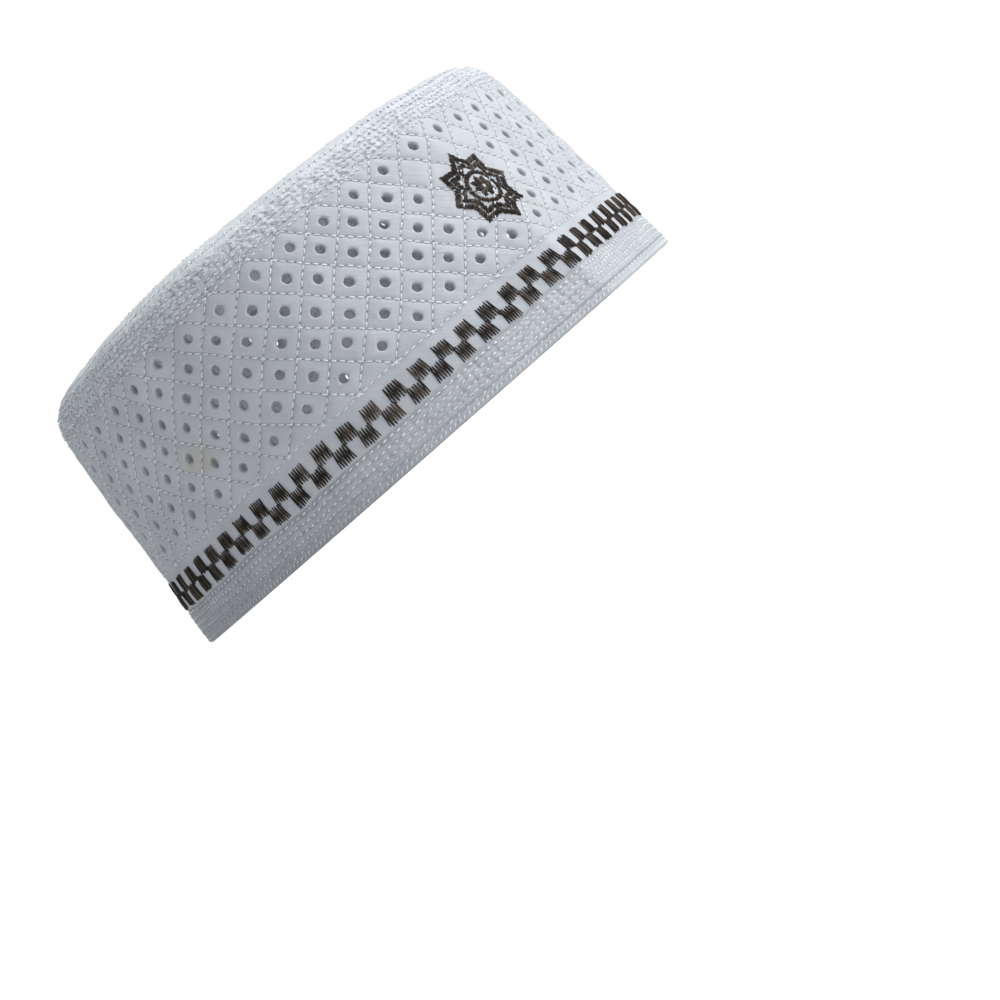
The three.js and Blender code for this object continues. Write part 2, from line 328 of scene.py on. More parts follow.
class Bench:
    """Adds nodes to a tree and feeds them, so that a tree reads as a list of steps."""

    def __init__(self, tree):
        self.tree = tree

    def feed(self, socket, value):
        """Links a socket to another one, or sets its plain value."""
        if isinstance(value, bpy.types.NodeSocket):
            self.tree.links.new(value, socket)
        else:
            socket.default_value = value

    def node(self, kind, feeds=None, **settings):
        """One node. Feeds go by input name or number, and are sockets or plain values."""
        node = self.tree.nodes.new(kind)
        for name, value in settings.items():
            setattr(node, name, value)
        for key, value in (feeds or {}).items():
            self.feed(node.inputs[key], value)
        return node

    def math(self, operation, *values, clamp=False):
        """Result of a Math node."""
        feeds = dict(enumerate(values))
        return self.node("ShaderNodeMath", feeds, operation=operation, use_clamp=clamp).outputs[0]

    def times(self, first, second):
        """Product of two numbers."""
        return self.math("MULTIPLY", first, second)

    def plus(self, first, second):
        """Sum of two numbers."""
        return self.math("ADD", first, second)

    def minus(self, first, second):
        """The first number less the second."""
        return self.math("SUBTRACT", first, second)

    def over(self, first, second, clamp=False):
        """The first number divided by the second."""
        return self.math("DIVIDE", first, second, clamp=clamp)

    def off_half(self, value):
        """How far a number is from a half."""
        return self.math("ABSOLUTE", self.minus(value, 0.5))

    def vector(self, operation, *values, scale=None):
        """Result of a Vector Math node."""
        feeds = dict(enumerate(values))
        if scale is not None:
            feeds["Scale"] = scale
        node = self.node("ShaderNodeVectorMath", feeds, operation=operation)
        return node.outputs["Value" if operation in ("LENGTH", "DISTANCE", "DOT_PRODUCT") else 0]

    def ramp(self, value, low, high, out_low=0.0, out_high=1.0):
        """A value taken smoothly from one range to another and held there."""
        feeds = {"Value": value, 1: low, 2: high, 3: out_low, 4: out_high}
        return self.node("ShaderNodeMapRange", feeds, interpolation_type="SMOOTHSTEP").outputs[0]

    def split(self, vector):
        """The three numbers of a vector."""
        return self.node("ShaderNodeSeparateXYZ", {0: vector}).outputs

    def join(self, x, y, z):
        """A vector from three numbers."""
        return self.node("ShaderNodeCombineXYZ", {0: x, 1: y, 2: z}).outputs[0]

    def noise(self, vector, scale, detail):
        """Noise from 0 to 1."""
        feeds = {"Vector": vector, "Scale": scale, "Detail": detail}
        return self.node("ShaderNodeTexNoise", feeds).outputs[0]

    def mix(self, share, first, second):
        """A colour between two colours."""
        node = self.node("ShaderNodeMix", data_type="RGBA", clamp_factor=True)
        for key, value in {"Factor": share, "A": first, "B": second}.items():
            kind = "VALUE" if key == "Factor" else "RGBA"
            self.feed(next(s for s in node.inputs if s.name == key and s.type == kind), value)
        return next(s for s in node.outputs if s.type == "RGBA")

    def drawn(self, drawing):
        """The geometry of a drawing."""
        return self.node("GeometryNodeObjectInfo", {"Object": drawing}).outputs["Geometry"]

    def store(self, geometry, name, value, data_type, domain):
        """Geometry with a value stored on it under a name."""
        feeds = {"Geometry": geometry, "Name": name, "Value": value}
        kind = "GeometryNodeStoreNamedAttribute"
        return self.node(kind, feeds, data_type=data_type, domain=domain).outputs[0]

    def stored(self, name):
        """A number stored on the points under a name."""
        kind = "GeometryNodeInputNamedAttribute"
        return self.node(kind, {"Name": name}, data_type="FLOAT").outputs[0]


def new_group(name, kind, inputs, outputs):
    """A node group with named sockets: its bench, its input sockets and its output sockets.

    Inputs and outputs go by label, each with its default number or its kind of socket.
    """
    group = bpy.data.node_groups.new(name, kind)
    for side, sockets in (("INPUT", inputs), ("OUTPUT", outputs)):
        for label, given in sockets.items():
            suffix = {float: "Float", int: "Int"}.get(type(given), given)
            socket = group.interface.new_socket(
                label, in_out=side, socket_type=f"NodeSocket{suffix}"
            )
            if suffix != given:
                socket.default_value = given
    bench = Bench(group)
    start = bench.node("NodeGroupInput").outputs
    end = bench.node("NodeGroupOutput").inputs
    return bench, start, end


def set_input(modifier, label, value):
    """Sets a modifier's input by the identifier of the socket with this name."""
    for socket in modifier.node_group.interface.items_tree:
        if socket.item_type == "SOCKET" and socket.in_out == "INPUT" and socket.name == label:
            modifier[socket.identifier] = value
            return
    raise RuntimeError(f"{modifier.node_group.name} has no input named {label}")


def new_drawing(name, points, faces=(), edges=(), numbers=None):
    """A flat drawing. It is no piece, so it isn't in the scene."""
    mesh = bpy.data.meshes.new(name)
    mesh.from_pydata(*([tuple(item) for item in items] for items in (points, edges, faces)))
    for label, values in (numbers or {}).items():
        mesh.attributes.new(label, "FLOAT", "POINT").data.foreach_set("value", values)
    mesh.update()
    return bpy.data.objects.new(name, mesh)


def make_piece(drawing, name, group, inputs, slot, *nodes):
    """Runs a Geometry Nodes group on a drawing and keeps the result as a plain piece."""
    bpy.context.scene.collection.objects.link(drawing)
    modifier = drawing.modifiers.new("Make", "NODES")
    modifier.node_group = bpy.data.node_groups[group]
    for label, value in inputs.items():
        set_input(modifier, label, value)
    shown = drawing.evaluated_get(bpy.context.evaluated_depsgraph_get())
    mesh = bpy.data.meshes.new_from_object(shown)
    mesh.name = name
    drawing.modifiers.clear()
    forget(drawing)
    if len(mesh.polygons) == 0:
        raise RuntimeError(f"{name} came out empty")
    mesh.polygons.foreach_set("use_smooth", [True] * len(mesh.polygons))
    piece = bpy.data.objects.new(name, mesh)
    bpy.context.scene.collection.objects.link(piece)
    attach(piece, "root")
    if nodes:
        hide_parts(*nodes)
    return piece


def forget(drawing):
    """Deletes a drawing that has been used."""
    data = drawing.data
    bpy.data.objects.remove(drawing)
    bpy.data.meshes.remove(data)


# Laying the flat drawings on the cap


LAYING = "Lay on the cap"
WAVE_SCALE = 26.0  # noise scales, per metre, from the broadest to the finest
DRIFT_SCALE = 60.0
WRINKLE_SCALE = 230.0
CRUMPLE_SCALE = 560.0


def need_laying_group(scene):
    """Makes the group that turns flat places into places on the cap, if it isn't there yet."""
    if LAYING in bpy.data.node_groups:
        return
    shape, quilting, embroidery = scene.kufi_shape, scene.kufi_quilting, scene.kufi_embroidery
    rim = outline_points(shape.rim_length, shape.rim_width, "rim", shape.crease)
    top = outline_points(shape.top_length, shape.top_width, "top", shape.crease)
    outlines = add_outline("rim_outline", rim), add_outline("top_outline", top)
    around = rim_around(shape)
    inputs = {
        "Drawing": "Geometry",
        "Around": around,
        "Height": shape.height,
        "Corner drop": shape.corner_drop,
        "Corner reach": shape.corner_reach,
        "Crown rise": shape.crown_rise,
        "Crown span": shape.crown_span,
        "Wall": shape.wall,
        "Hem height": shape.hem_height,
        "Column": around / quilting.columns,
        "Row": (quilting.top - quilting.bottom) / quilting.rows,
        "Lattice bottom": quilting.bottom,
        "Lattice top": quilting.top,
        "Puff": quilting.puff,
        "Valley": quilting.valley,
        "Waviness": shape.waviness,
        "Drift": shape.drift,
        "Pucker": shape.pucker,
        "Crumple": shape.crumple,
        "Star height": embroidery.star_height,
        "Star radius": embroidery.star_radius,
    }
    b, start, end = new_group(LAYING, "GeometryNodeTree", inputs, {"Laid": "Geometry"})
    flat = b.node("GeometryNodeInputPosition").outputs[0]
    x, y, z = b.split(flat)

    # Seams stray a little from their lines, by noise that meets itself at the back
    radius = b.over(start["Around"], 2 * math.pi)
    angle = b.over(x, radius)
    ring_x = b.times(b.math("COSINE", angle), radius)
    ring_y = b.times(b.math("SINE", angle), radius)
    feeds = {"Vector": b.join(ring_x, ring_y, y), "Scale": DRIFT_SCALE, "Detail": 1.0}
    stray = b.node("ShaderNodeTexNoise", feeds).outputs["Color"]
    stray = b.vector("SUBTRACT", stray, (0.5, 0.5, 0.5))
    to_star = b.vector("SUBTRACT", flat, b.join(0.0, start["Star height"], z))
    to_star = b.over(b.vector("LENGTH", to_star), start["Star radius"])
    drift = b.times(start["Drift"], b.ramp(to_star, 0.9, 1.7, 0.8, 4.0))
    stray = b.vector("SCALE", stray, scale=drift)
    stray = b.split(b.vector("SCALE", stray, scale=b.ramp(y, 0.001, 0.012, 0.1, 1.0)))
    x_laid = b.plus(x, stray[0])
    y_laid = b.math("MULTIPLY_ADD", stray[1], b.ramp(y, 0.085, 0.12, 1.0, 0.0), y)

    # The two outlines at this share of the way round
    share = b.math("FRACT", b.over(x_laid, start["Around"]))
    places, tangents = [], []
    for outline in outlines:
        feeds = {"Curves": b.drawn(outline), "Factor": share}
        sample = b.node("GeometryNodeSampleCurve", feeds, mode="FACTOR")
        places.append(sample.outputs["Position"])
        tangents.append(sample.outputs["Tangent"])

    # Up the wall, round the corner, then in over the crown
    corner_start = b.minus(start["Height"], start["Corner drop"])
    corner_sum = b.plus(start["Corner drop"], start["Corner reach"])
    corner_length = b.times(corner_sum, CORNER_ARC_SHARE)
    past_wall = b.math("MAXIMUM", b.minus(y_laid, corner_start), 0.0)
    turn = b.over(past_wall, corner_length, clamp=True)
    turn = b.times(turn, math.pi / 2)
    rise, run = b.math("SINE", turn), b.math("COSINE", turn)
    wall_part = b.math("MINIMUM", y_laid, corner_start)
    height = b.math("MULTIPLY_ADD", start["Corner drop"], rise, wall_part)
    inward = b.times(start["Corner reach"], b.minus(1.0, run))
    past_corner = b.math("MAXIMUM", b.minus(past_wall, corner_length), 0.0)
    over_crown = b.over(past_corner, start["Crown span"], clamp=True)
    from_middle = b.minus(1.0, over_crown)
    dome = b.minus(1.0, b.times(from_middle, from_middle))
    height = b.math("MULTIPLY_ADD", start["Crown rise"], dome, height)

    # Place and outward direction on the bare surface
    climb = b.over(b.math("MINIMUM", height, start["Height"]), start["Height"])
    mixed = []
    for low, high in (places, tangents):
        part = b.vector("SCALE", b.vector("SUBTRACT", high, low), scale=climb)
        mixed.append(b.vector("ADD", low, part))
    tangent = b.split(mixed[1])
    outward = b.join(tangent[1], b.times(tangent[0], -1.0), 0.0)
    outward = b.vector("NORMALIZE", outward)
    surface = b.vector("SUBTRACT", mixed[0], b.vector("SCALE", outward, scale=inward))
    surface = b.vector("SCALE", surface, scale=from_middle)
    place = b.vector("ADD", surface, b.join(0.0, 0.0, height))
    lean = b.vector("SCALE", outward, scale=b.times(run, start["Corner drop"]))
    upward = b.join(0.0, 0.0, b.times(rise, start["Corner reach"]))
    normal = b.vector("NORMALIZE", b.vector("ADD", lean, upward))

    def swell(distance):
        """Rises from 0 at a seam to 1 away from it."""
        fall = b.over(distance, b.times(start["Valley"], -1.0))
        return b.minus(1.0, b.math("EXPONENT", fall))

    # Quilting: two families of slanted seams, and a straight seam along the lattice's foot
    above = b.minus(y, start["Lattice bottom"])
    across = b.over(x, start["Column"])
    two_rows = b.times(start["Row"], 2.0)
    slant = b.over(above, two_rows)
    steepness = b.math("POWER", start["Column"], -2.0)
    steepness = b.plus(steepness, b.math("POWER", two_rows, -2.0))
    spacing = b.math("POWER", steepness, -0.5)
    cells = []
    for operation in ("SUBTRACT", "ADD"):
        phase = b.math("FRACT", b.math(operation, across, slant))
        cells.append(swell(b.times(b.off_half(phase), spacing)))
    top_fade = b.ramp(b.minus(start["Lattice top"], y), 0.0002, 0.002)
    lattice = b.times(b.times(cells[0], cells[1]), top_fade)
    calm = b.ramp(to_star, 0.8, 1.05, 0.25, 1.0)
    lattice = b.times(lattice, calm)
    in_lattice = b.math("GREATER_THAN", above, 0.0)
    strip = b.ramp(b.minus(y, start["Hem height"]), 0.0, 0.002, 0.0, 0.35)
    strip = b.times(strip, b.minus(1.0, in_lattice))
    level = b.math("MULTIPLY_ADD", lattice, in_lattice, strip)
    level = b.times(level, swell(b.math("ABSOLUTE", above)))
    relief = b.times(level, start["Puff"])

    # Wrinkles and waves follow the bare surface, so that they meet at the back
    wrinkle = b.noise(b.vector("MULTIPLY", place, (1.0, 1.0, 0.6)), WRINKLE_SCALE, 2.0)
    past_lattice = b.minus(y, start["Lattice top"])
    drawn_up = b.ramp(past_lattice, -0.001, 0.003, 1.0, 2.2)
    drawn_up = b.times(drawn_up, b.ramp(over_crown, 0.03, 0.25, 1.0, 0.3))
    wrinkle = b.times(b.minus(wrinkle, 0.5), drawn_up)
    wrinkle = b.times(wrinkle, start["Pucker"])
    crumple = b.noise(b.vector("MULTIPLY", place, (1.0, 1.0, 1.15)), CRUMPLE_SCALE, 1.0)
    crumple = b.minus(crumple, 0.5)
    crumpled = b.ramp(past_lattice, -0.0018, 0.0002)
    crumpled = b.times(crumpled, b.ramp(past_lattice, 0.008, 0.011, 1.0, 0.12))
    crumpled = b.times(crumpled, b.ramp(over_crown, 0.03, 0.1, 1.0, 0.0))
    down_hem = b.minus(start["Hem height"], y)
    crumpled = b.plus(crumpled, b.ramp(down_hem, 0.0, 0.001, 0.0, 0.28))
    crumple = b.times(b.times(crumple, crumpled), start["Crumple"])
    wrinkle = b.plus(wrinkle, crumple)
    wave = b.minus(b.noise(place, WAVE_SCALE, 1.0), 0.5)
    wave = b.times(wave, b.ramp(y, 0.0, 0.02, 0.3, 2.0))
    wave = b.times(wave, start["Waviness"])

    # The inner face swells the other way, and the folded rim stays as drawn
    depth = b.over(b.times(z, -1.0), start["Wall"])
    relief = b.plus(relief, wrinkle)
    relief = b.times(relief, b.ramp(depth, 0.25, 0.95, 1.0, -0.5))
    relief = b.times(relief, b.ramp(y, 0.0002, 0.003))
    lift = b.plus(b.plus(z, relief), wave)
    laid = b.vector("ADD", place, b.vector("SCALE", normal, scale=lift))
    kept = b.store(start["Drawing"], "flat", flat, "FLOAT_VECTOR", "CORNER")
    moved = b.node("GeometryNodeSetPosition", {"Geometry": kept, "Position": laid})
    b.feed(end[0], moved.outputs[0])


def lay_and_dress(b, geometry, material, weld=None):
    """Lays a drawing on the cap, closes its seam where the cloth meets and gives its material."""
    group = bpy.data.node_groups[LAYING]
    laid = b.node("GeometryNodeGroup", {"Drawing": geometry}, node_tree=group)
    if weld is not None:
        feeds = {"Geometry": laid.outputs[0], "Distance": weld}
        laid = b.node("GeometryNodeMergeByDistance", feeds)
    real = b.node("GeometryNodeRealizeInstances", {0: laid.outputs[0]}).outputs[0]
    return b.node("GeometryNodeSetMaterial", {"Geometry": real, "Material": material}).outputs[0]


# Quilted wall


TILE_SIDE = 8  # points along one side of a tile
STRIP_ROWS = 9
PUNCHED = ("punched_a", "punched_b", "punched_c", "punched_d", "punched_e", "punched_f")
TILES = PUNCHED + ("plain", "foot", "head", "strip")
HOLE_STRAY = 0.4 * MM  # how far a hole may stray from the middle of its tile, each way
HOLE_ROUGHNESS = 0.04 * MM
HOLE_WAVES = (2, 3, 5)  # waves round the edge of a hole that make it uneven
HOLE_SEED = 3
LATTICE_SEED = 37  # chosen so that few lines of sight from the camera pass through two holes
# Rings of points on a tile's outer face: share of the way in from its sides, and lift
PLAIN_RINGS = ((0.0, 0.0), (0.07, 0.0), (0.18, 0.0), (0.35, 0.0), (0.65, 0.0))
HOLE_RINGS = ((0.0, 0.0), (0.10, 0.0), (0.26, 0.0), (0.52, 0.0))
HOLE_RINGS += ((0.80, 0.06 * MM), (0.96, 0.03 * MM), (1.0, -0.25 * MM))


def ring_faces(first, second, count):
    """Quads between two rings of points, with the second further along the cloth's face."""
    nexts = [(i + 1) % count for i in range(count)]
    return [(first + i, first + j, second + j, second + i) for i, j in enumerate(nexts)]


def tile(corners, per_side, wall, hole=0.0, close_base=False, chance=None):
    """A patch of cloth with two faces and straight sides, and a round hole or none in it.

    Rings of points run in from the sides on the outer face. A hole's run on down its wall and
    out again on the inner face. Chance moves a hole a little and makes its edge uneven.
    """
    corners = np.array(corners)
    edge = []
    for side, corner in enumerate(corners):
        towards = corners[(side + 1) % len(corners)]
        edge += [corner + (towards - corner) * k / per_side[side] for k in range(per_side[side])]
    edge = np.array(edge)
    middle = corners.mean(0)
    count = len(edge)
    rim = np.repeat(middle[None], count, 0)
    rings = PLAIN_RINGS
    if hole:
        out = edge - middle
        turns = np.arctan2(out[:, 1], out[:, 0])
        reach = np.full(count, hole / 2)
        for waves in HOLE_WAVES:
            size_of_wave, phase = chance.uniform(0.3, 1), chance.uniform(0, 2 * math.pi)
            reach += HOLE_ROUGHNESS * size_of_wave * np.sin(waves * turns + phase)
        shift = [chance.uniform(-1, 1) * HOLE_STRAY, chance.uniform(-1, 1) * HOLE_STRAY]
        rim = middle + shift + out / np.linalg.norm(out, axis=1)[:, None] * reach[:, None]
        rings = HOLE_RINGS + ((1.0, -wall), (0.0, -wall))
    points, faces = [], []
    for share, lift in rings:
        points += [(x, y, lift) for x, y in edge + (rim - edge) * share]
    for i in range(len(rings) - 1):
        faces += ring_faces(i * count, (i + 1) * count, count)
    if not hole:
        last, back = (len(rings) - 1) * count, len(rings) * count + 1
        points.append((*middle, 0.0))
        points += [(x, y, -wall) for x, y in edge] + [(*middle, -wall)]
        for i in range(count):
            j = (i + 1) % count
            faces += [(last + i, last + j, back - 1), (back + j, back + i, back + count)]
        if close_base:
            for i in range(count - per_side[-1], count):
                j = (i + 1) % count
                faces.append((j, i, back + i, back + j))
    return points, faces


def strip_tile(wide, low, high, columns, rows, wall):
    """A plain strip of cloth under one column of the lattice, closed along its foot."""
    xs = np.linspace(-wide / 2, wide / 2, columns + 1)
    points = [(x, y, 0.0) for y in np.linspace(low, high, rows + 1) for x in xs]
    points += [(x, y, -wall) for y in (low, high) for x in xs]
    side = columns + 1
    back = side * (rows + 1)
    faces = []
    for a in (r * side + c for r in range(rows) for c in range(columns)):
        faces.append((a, a + 1, a + 1 + side, a + side))
    for c in range(columns):
        a = back + c
        faces.append((a + 1, a, a + side, a + side + 1))
        faces.append((c, a, a + 1, c + 1))
    return points, faces


def build_wall_group(material):
    """Sets a tile on each point of the lattice and joins the tiles into one cloth."""
    inputs = {"Lattice": "Geometry"} | {f"Tile {kind}": "Object" for kind in TILES}
    inputs |= {"Weld": WELD}
    b, start, end = new_group("Quilted wall", "GeometryNodeTree", inputs, {"Cloth": "Geometry"})
    kind = b.stored("kind")
    join = b.node("GeometryNodeJoinGeometry")
    for number, label in enumerate(TILES):
        feeds = {0: kind, 1: float(number), "Epsilon": 0.1}
        chosen = b.node("FunctionNodeCompare", feeds, data_type="FLOAT", operation="EQUAL")
        feeds = {
            "Points": start["Lattice"],
            "Selection": chosen.outputs[0],
            "Instance": b.drawn(start[f"Tile {label}"]),
            "Rotation": (0.0, 0.0, math.pi if label == "head" else 0.0),
        }
        b.tree.links.new(b.node("GeometryNodeInstanceOnPoints", feeds).outputs[0], join.inputs[0])
    real = b.node("GeometryNodeRealizeInstances", {0: join.outputs[0]}).outputs[0]
    sewn = b.node("GeometryNodeMergeByDistance", {"Geometry": real, "Distance": start["Weld"]})
    b.feed(end[0], lay_and_dress(b, sewn.outputs[0], material, start["Weld"]))


def lattice_points(scene):
    """Places of the wall's tiles, and the kind of each."""
    quilting = scene.kufi_quilting
    half = rim_around(scene.kufi_shape) / quilting.columns / 2
    row = (quilting.top - quilting.bottom) / quilting.rows
    chance = random.Random(LATTICE_SEED)
    points, kinds = [], []
    for c in range(-quilting.columns, quilting.columns):
        x = c * half
        for r in range(1, quilting.rows):
            y = quilting.bottom + r * row
            if (c + r) % 2 == 0:
                punched = math.hypot(x, y - quilting.patch_height) > quilting.patch_radius
                points.append((x, y, 0.0))
                kinds.append(TILES.index(chance.choice(PUNCHED) if punched else "plain"))
        if c % 2 == 0:
            points += [(x, quilting.bottom, 0.0)] * 2
            kinds += [TILES.index("foot"), TILES.index("strip")]
        if (c + quilting.rows) % 2 == 0:
            points.append((x, quilting.top, 0.0))
            kinds.append(TILES.index("head"))
    return points, kinds


class OBJECT_OT_kufi_wall(bpy.types.Operator):
    """Build the quilted wall, one closed cloth with every hole punched through it"""

    bl_idname = "object.kufi_wall"
    bl_label = "Quilted Wall"

    def execute(self, context):
        scene = context.scene
        shape, quilting = scene.kufi_shape, scene.kufi_quilting
        need_laying_group(scene)
        column = rim_around(shape) / quilting.columns
        half, row = column / 2, (quilting.top - quilting.bottom) / quilting.rows
        diamond = [(half, 0), (0, row), (-half, 0), (0, -row)]
        triangle = [(half, 0), (0, row), (-half, 0)]
        four = [TILE_SIDE] * 4
        three = [TILE_SIDE, TILE_SIDE, 2 * TILE_SIDE]
        low = shape.hem_height - quilting.bottom
        chance = random.Random(HOLE_SEED)
        drawings = {
            kind: tile(diamond, four, shape.wall, quilting.hole, chance=chance) for kind in PUNCHED
        }
        drawings |= {
            "plain": tile(diamond, four, shape.wall),
            "foot": tile(triangle, three, shape.wall),
            "head": tile(triangle, three, shape.wall, close_base=True),
            "strip": strip_tile(column, low, 0, 2 * TILE_SIDE, STRIP_ROWS, shape.wall),
        }
        tiles = {kind: new_drawing(f"tile_{kind}", *drawings[kind]) for kind in TILES}
        points, kinds = lattice_points(scene)
        lattice = new_drawing("lattice", points, numbers={"kind": kinds})
        build_wall_group(need_cloth(scene))
        inputs = {f"Tile {kind}": tiles[kind] for kind in TILES}
        make_piece(lattice, "quilted_wall", "Quilted wall", inputs, "quilted_cloth", "side_band")
        for drawing in tiles.values():
            forget(drawing)
        return {"FINISHED"}


# Hem, top band and crown


HEM_PROUD = 0.4 * MM  # how far each band stands out over the wall
TOP_PROUD = 0.12 * MM
CROWN_PROUD = 0.1 * MM
HEM_FURROW = 0.28 * MM  # how deep a row of stitches draws each band in
TOP_FURROW = 0.34 * MM
CROWN_FURROW = 0.35 * MM
FURROW_WIDTH = 0.55 * MM  # from a furrow's middle to where a third of its depth is left
CROWN_FURROW_WIDTH = 0.8 * MM
HEM_STEPS = 600  # steps of each band's sweep round the cap
TOP_STEPS = 1240
CROWN_STEPS = 240
HEM_WHITE = 0.94  # lightness of each band's cloth over the wall's; over 1, on the top band and the crown, it is painted light from above
TOP_WHITE_AND_LIGHT = 1.22
CROWN_WHITE_AND_LIGHT = 1.1
HEM_PITCH = 0.28 * MM  # from one point of each band's section to the next
TOP_PITCH = 0.42 * MM
CROWN_PITCH = 0.5 * MM
TUCK = 0.25 * MM  # how far a band's edge is sunk, so that the next piece covers it
INSET = 0.3 * MM  # how far a band's inner edge keeps from its corner
HEM_THINS = 2.2 * MM  # the hem thins out over this much below its upper edge
HEM_TURN = 15  # degrees from one point of the folded edge to the next


def sweep(name, profile, steps, around, closed):
    """A drawing of a band: a profile of (height, lift) points, taken along the way round."""
    profile = np.array(profile)
    xs = np.linspace(-around / 2, around / 2, steps + 1)
    points = [(x, y, z) for x in xs for y, z in profile]
    count = len(profile)
    faces = []
    for i in range(steps):
        for j in range(count if closed else count - 1):
            k = (j + 1) % count
            faces.append((i * count + j, (i + 1) * count + j, (i + 1) * count + k, i * count + k))
    return new_drawing(name, points, faces)


def furrows(heights, rows, depth, half_width):
    """How deep the rows of stitches pull the cloth in, at each height."""
    middles = np.array([row["height"] * MM for row in rows])
    off = (np.asarray(heights)[:, None] - middles) / half_width
    return -depth * np.exp(-(off**2)).sum(1)


def hem_profile(shape):
    """Section of the hem: folded round the rim, with its upper edge tucked under the wall."""
    radius = shape.hem / 2
    outer = np.arange(radius, shape.hem_height, HEM_PITCH)
    thin = np.clip((shape.hem_height - outer) / HEM_THINS, 0.15, 1)
    lift = HEM_PROUD * thin + furrows(outer, HEM_ROWS, HEM_FURROW, FURROW_WIDTH)
    middle = HEM_PROUD - radius

    def round_edge(first, last):
        """Points round the folded edge, by degrees from the outer face."""
        turns = np.radians(np.arange(first, last, HEM_TURN))
        return [(radius * (1 + math.sin(a)), middle + radius * math.cos(a)) for a in turns]

    fold, back = round_edge(-80, -5), round_edge(180, 270)
    tuck = shape.hem_height + TUCK
    section = fold + list(zip(outer, lift))
    section += [(shape.hem_height, 0.02 * MM), (tuck, -TUCK), (tuck, -shape.wall + TUCK)]
    inner = np.linspace(shape.hem_height - 1 * MM, 2 * MM, 5)
    return section + [(y, HEM_PROUD - shape.hem) for y in inner] + back


def top_profile(shape, low, high):
    """Section of the top band, whose two edges are tucked in."""
    outer = np.arange(low, high, TOP_PITCH)
    lift = TOP_PROUD + furrows(outer, TOP_ROWS, TOP_FURROW, FURROW_WIDTH)
    lift[0] = lift[-1] = -TUCK
    inner = np.linspace(high - 0.5 * MM, low + INSET, 12)
    section = list(zip(outer, lift)) + [(high, -shape.wall + INSET)]
    section += [(y, -shape.wall) for y in inner] + [(low, -shape.wall + INSET)]
    return section


def crown_profile(shape, low, high):
    """Section of the crown from its edge to its middle and back on the inside."""
    sewn = low + 8 * MM
    outer = np.concatenate([np.arange(low, sewn, CROWN_PITCH), np.linspace(sewn, high, 62)])
    lift = CROWN_PROUD + furrows(outer, CROWN_ROWS, CROWN_FURROW, CROWN_FURROW_WIDTH)
    lift[0] = -TUCK
    lift[-1] = CROWN_PROUD
    section = [(low, -shape.wall + INSET)] + list(zip(outer, lift))
    section += [(y, -shape.wall) for y in np.linspace(high, low + 0.5 * MM, 12)]
    return section


def build_band_group():
    """Lays a swept band on the cap and closes it where its two ends meet."""
    inputs = {"Band": "Geometry", "Weld": WELD, "Cloth material": "Material"}
    b, start, end = new_group("Stitched band", "GeometryNodeTree", inputs, {"Cloth": "Geometry"})
    cloth = lay_and_dress(b, start["Band"], start["Cloth material"], start["Weld"])
    b.feed(end[0], cloth)


def corner_end(shape):
    """Height along the cloth at which the crown begins."""
    corner = CORNER_ARC_SHARE * (shape.corner_drop + shape.corner_reach)
    return shape.height - shape.corner_drop + corner


class OBJECT_OT_kufi_bands(bpy.types.Operator):
    """Build the folded hem, the stitched band round the top corner, and the crown"""

    bl_idname = "object.kufi_bands"
    bl_label = "Hem, Top Band and Crown"

    def execute(self, context):
        scene = context.scene
        shape, quilting = scene.kufi_shape, scene.kufi_quilting
        need_laying_group(scene)
        around = rim_around(shape)
        build_band_group()
        crown_low = corner_end(shape)
        low, high = quilting.top - 0.2 * MM, crown_low + 0.3 * MM
        crown_section = crown_profile(shape, crown_low, crown_low + shape.crown_span)

        hem = sweep("hem", hem_profile(shape), HEM_STEPS, around, True)
        cloth = need_band_cloth(scene, "hem_cotton", HEM_ROWS, HEM_PILLOWS, HEM_WHITE)
        inputs = {"Cloth material": cloth}
        make_piece(hem, "stitched_hem", "Stitched band", inputs, "stitched_cloth", "hem_band")

        top = sweep("top", top_profile(shape, low, high), TOP_STEPS, around, True)
        cloth = need_band_cloth(scene, "top_cotton", TOP_ROWS, TOP_PILLOWS, TOP_WHITE_AND_LIGHT)
        inputs = {"Cloth material": cloth}
        make_piece(top, "stitched_top", "Stitched band", inputs, "stitched_cloth", "top_band")

        crown = sweep("crown", crown_section, CROWN_STEPS, around, False)
        cloth = need_band_cloth(scene, CROWN_CLOTH, CROWN_ROWS, None, CROWN_WHITE_AND_LIGHT)
        inputs = {"Cloth material": cloth}
        make_piece(crown, "crown_cloth", "Stitched band", inputs, "quilted_cloth", "crown_panel")
        return {"FINISHED"}


# Stitches


STITCH_ARCH = 0.2 * MM  # how far the middle of a white stitch stands up
STITCH_FLATNESS = 0.8  # thickness of a white stitch over its width
TIP_SHARE = 0.22  # share of a thread's taper that the last, blunt bit takes
LATTICE_STITCH_SEED = 3
HEM_SEED, TOP_SEED, CROWN_SEED = 100, 300, 500
HEM_STRAY, TOP_STRAY, CROWN_STRAY = 0.09, 0.45, 0.1  # millimetres off the row, each way
STITCH_LENGTH_STRAY = 0.09  # shares of a stitch's length and width, each way
STITCH_WIDTH_STRAY = 0.12
STITCH_ALONG_STRAY = 0.1 * MM
ROW_SIDES = 12  # straight bits that the line of a row round the cap is drawn in


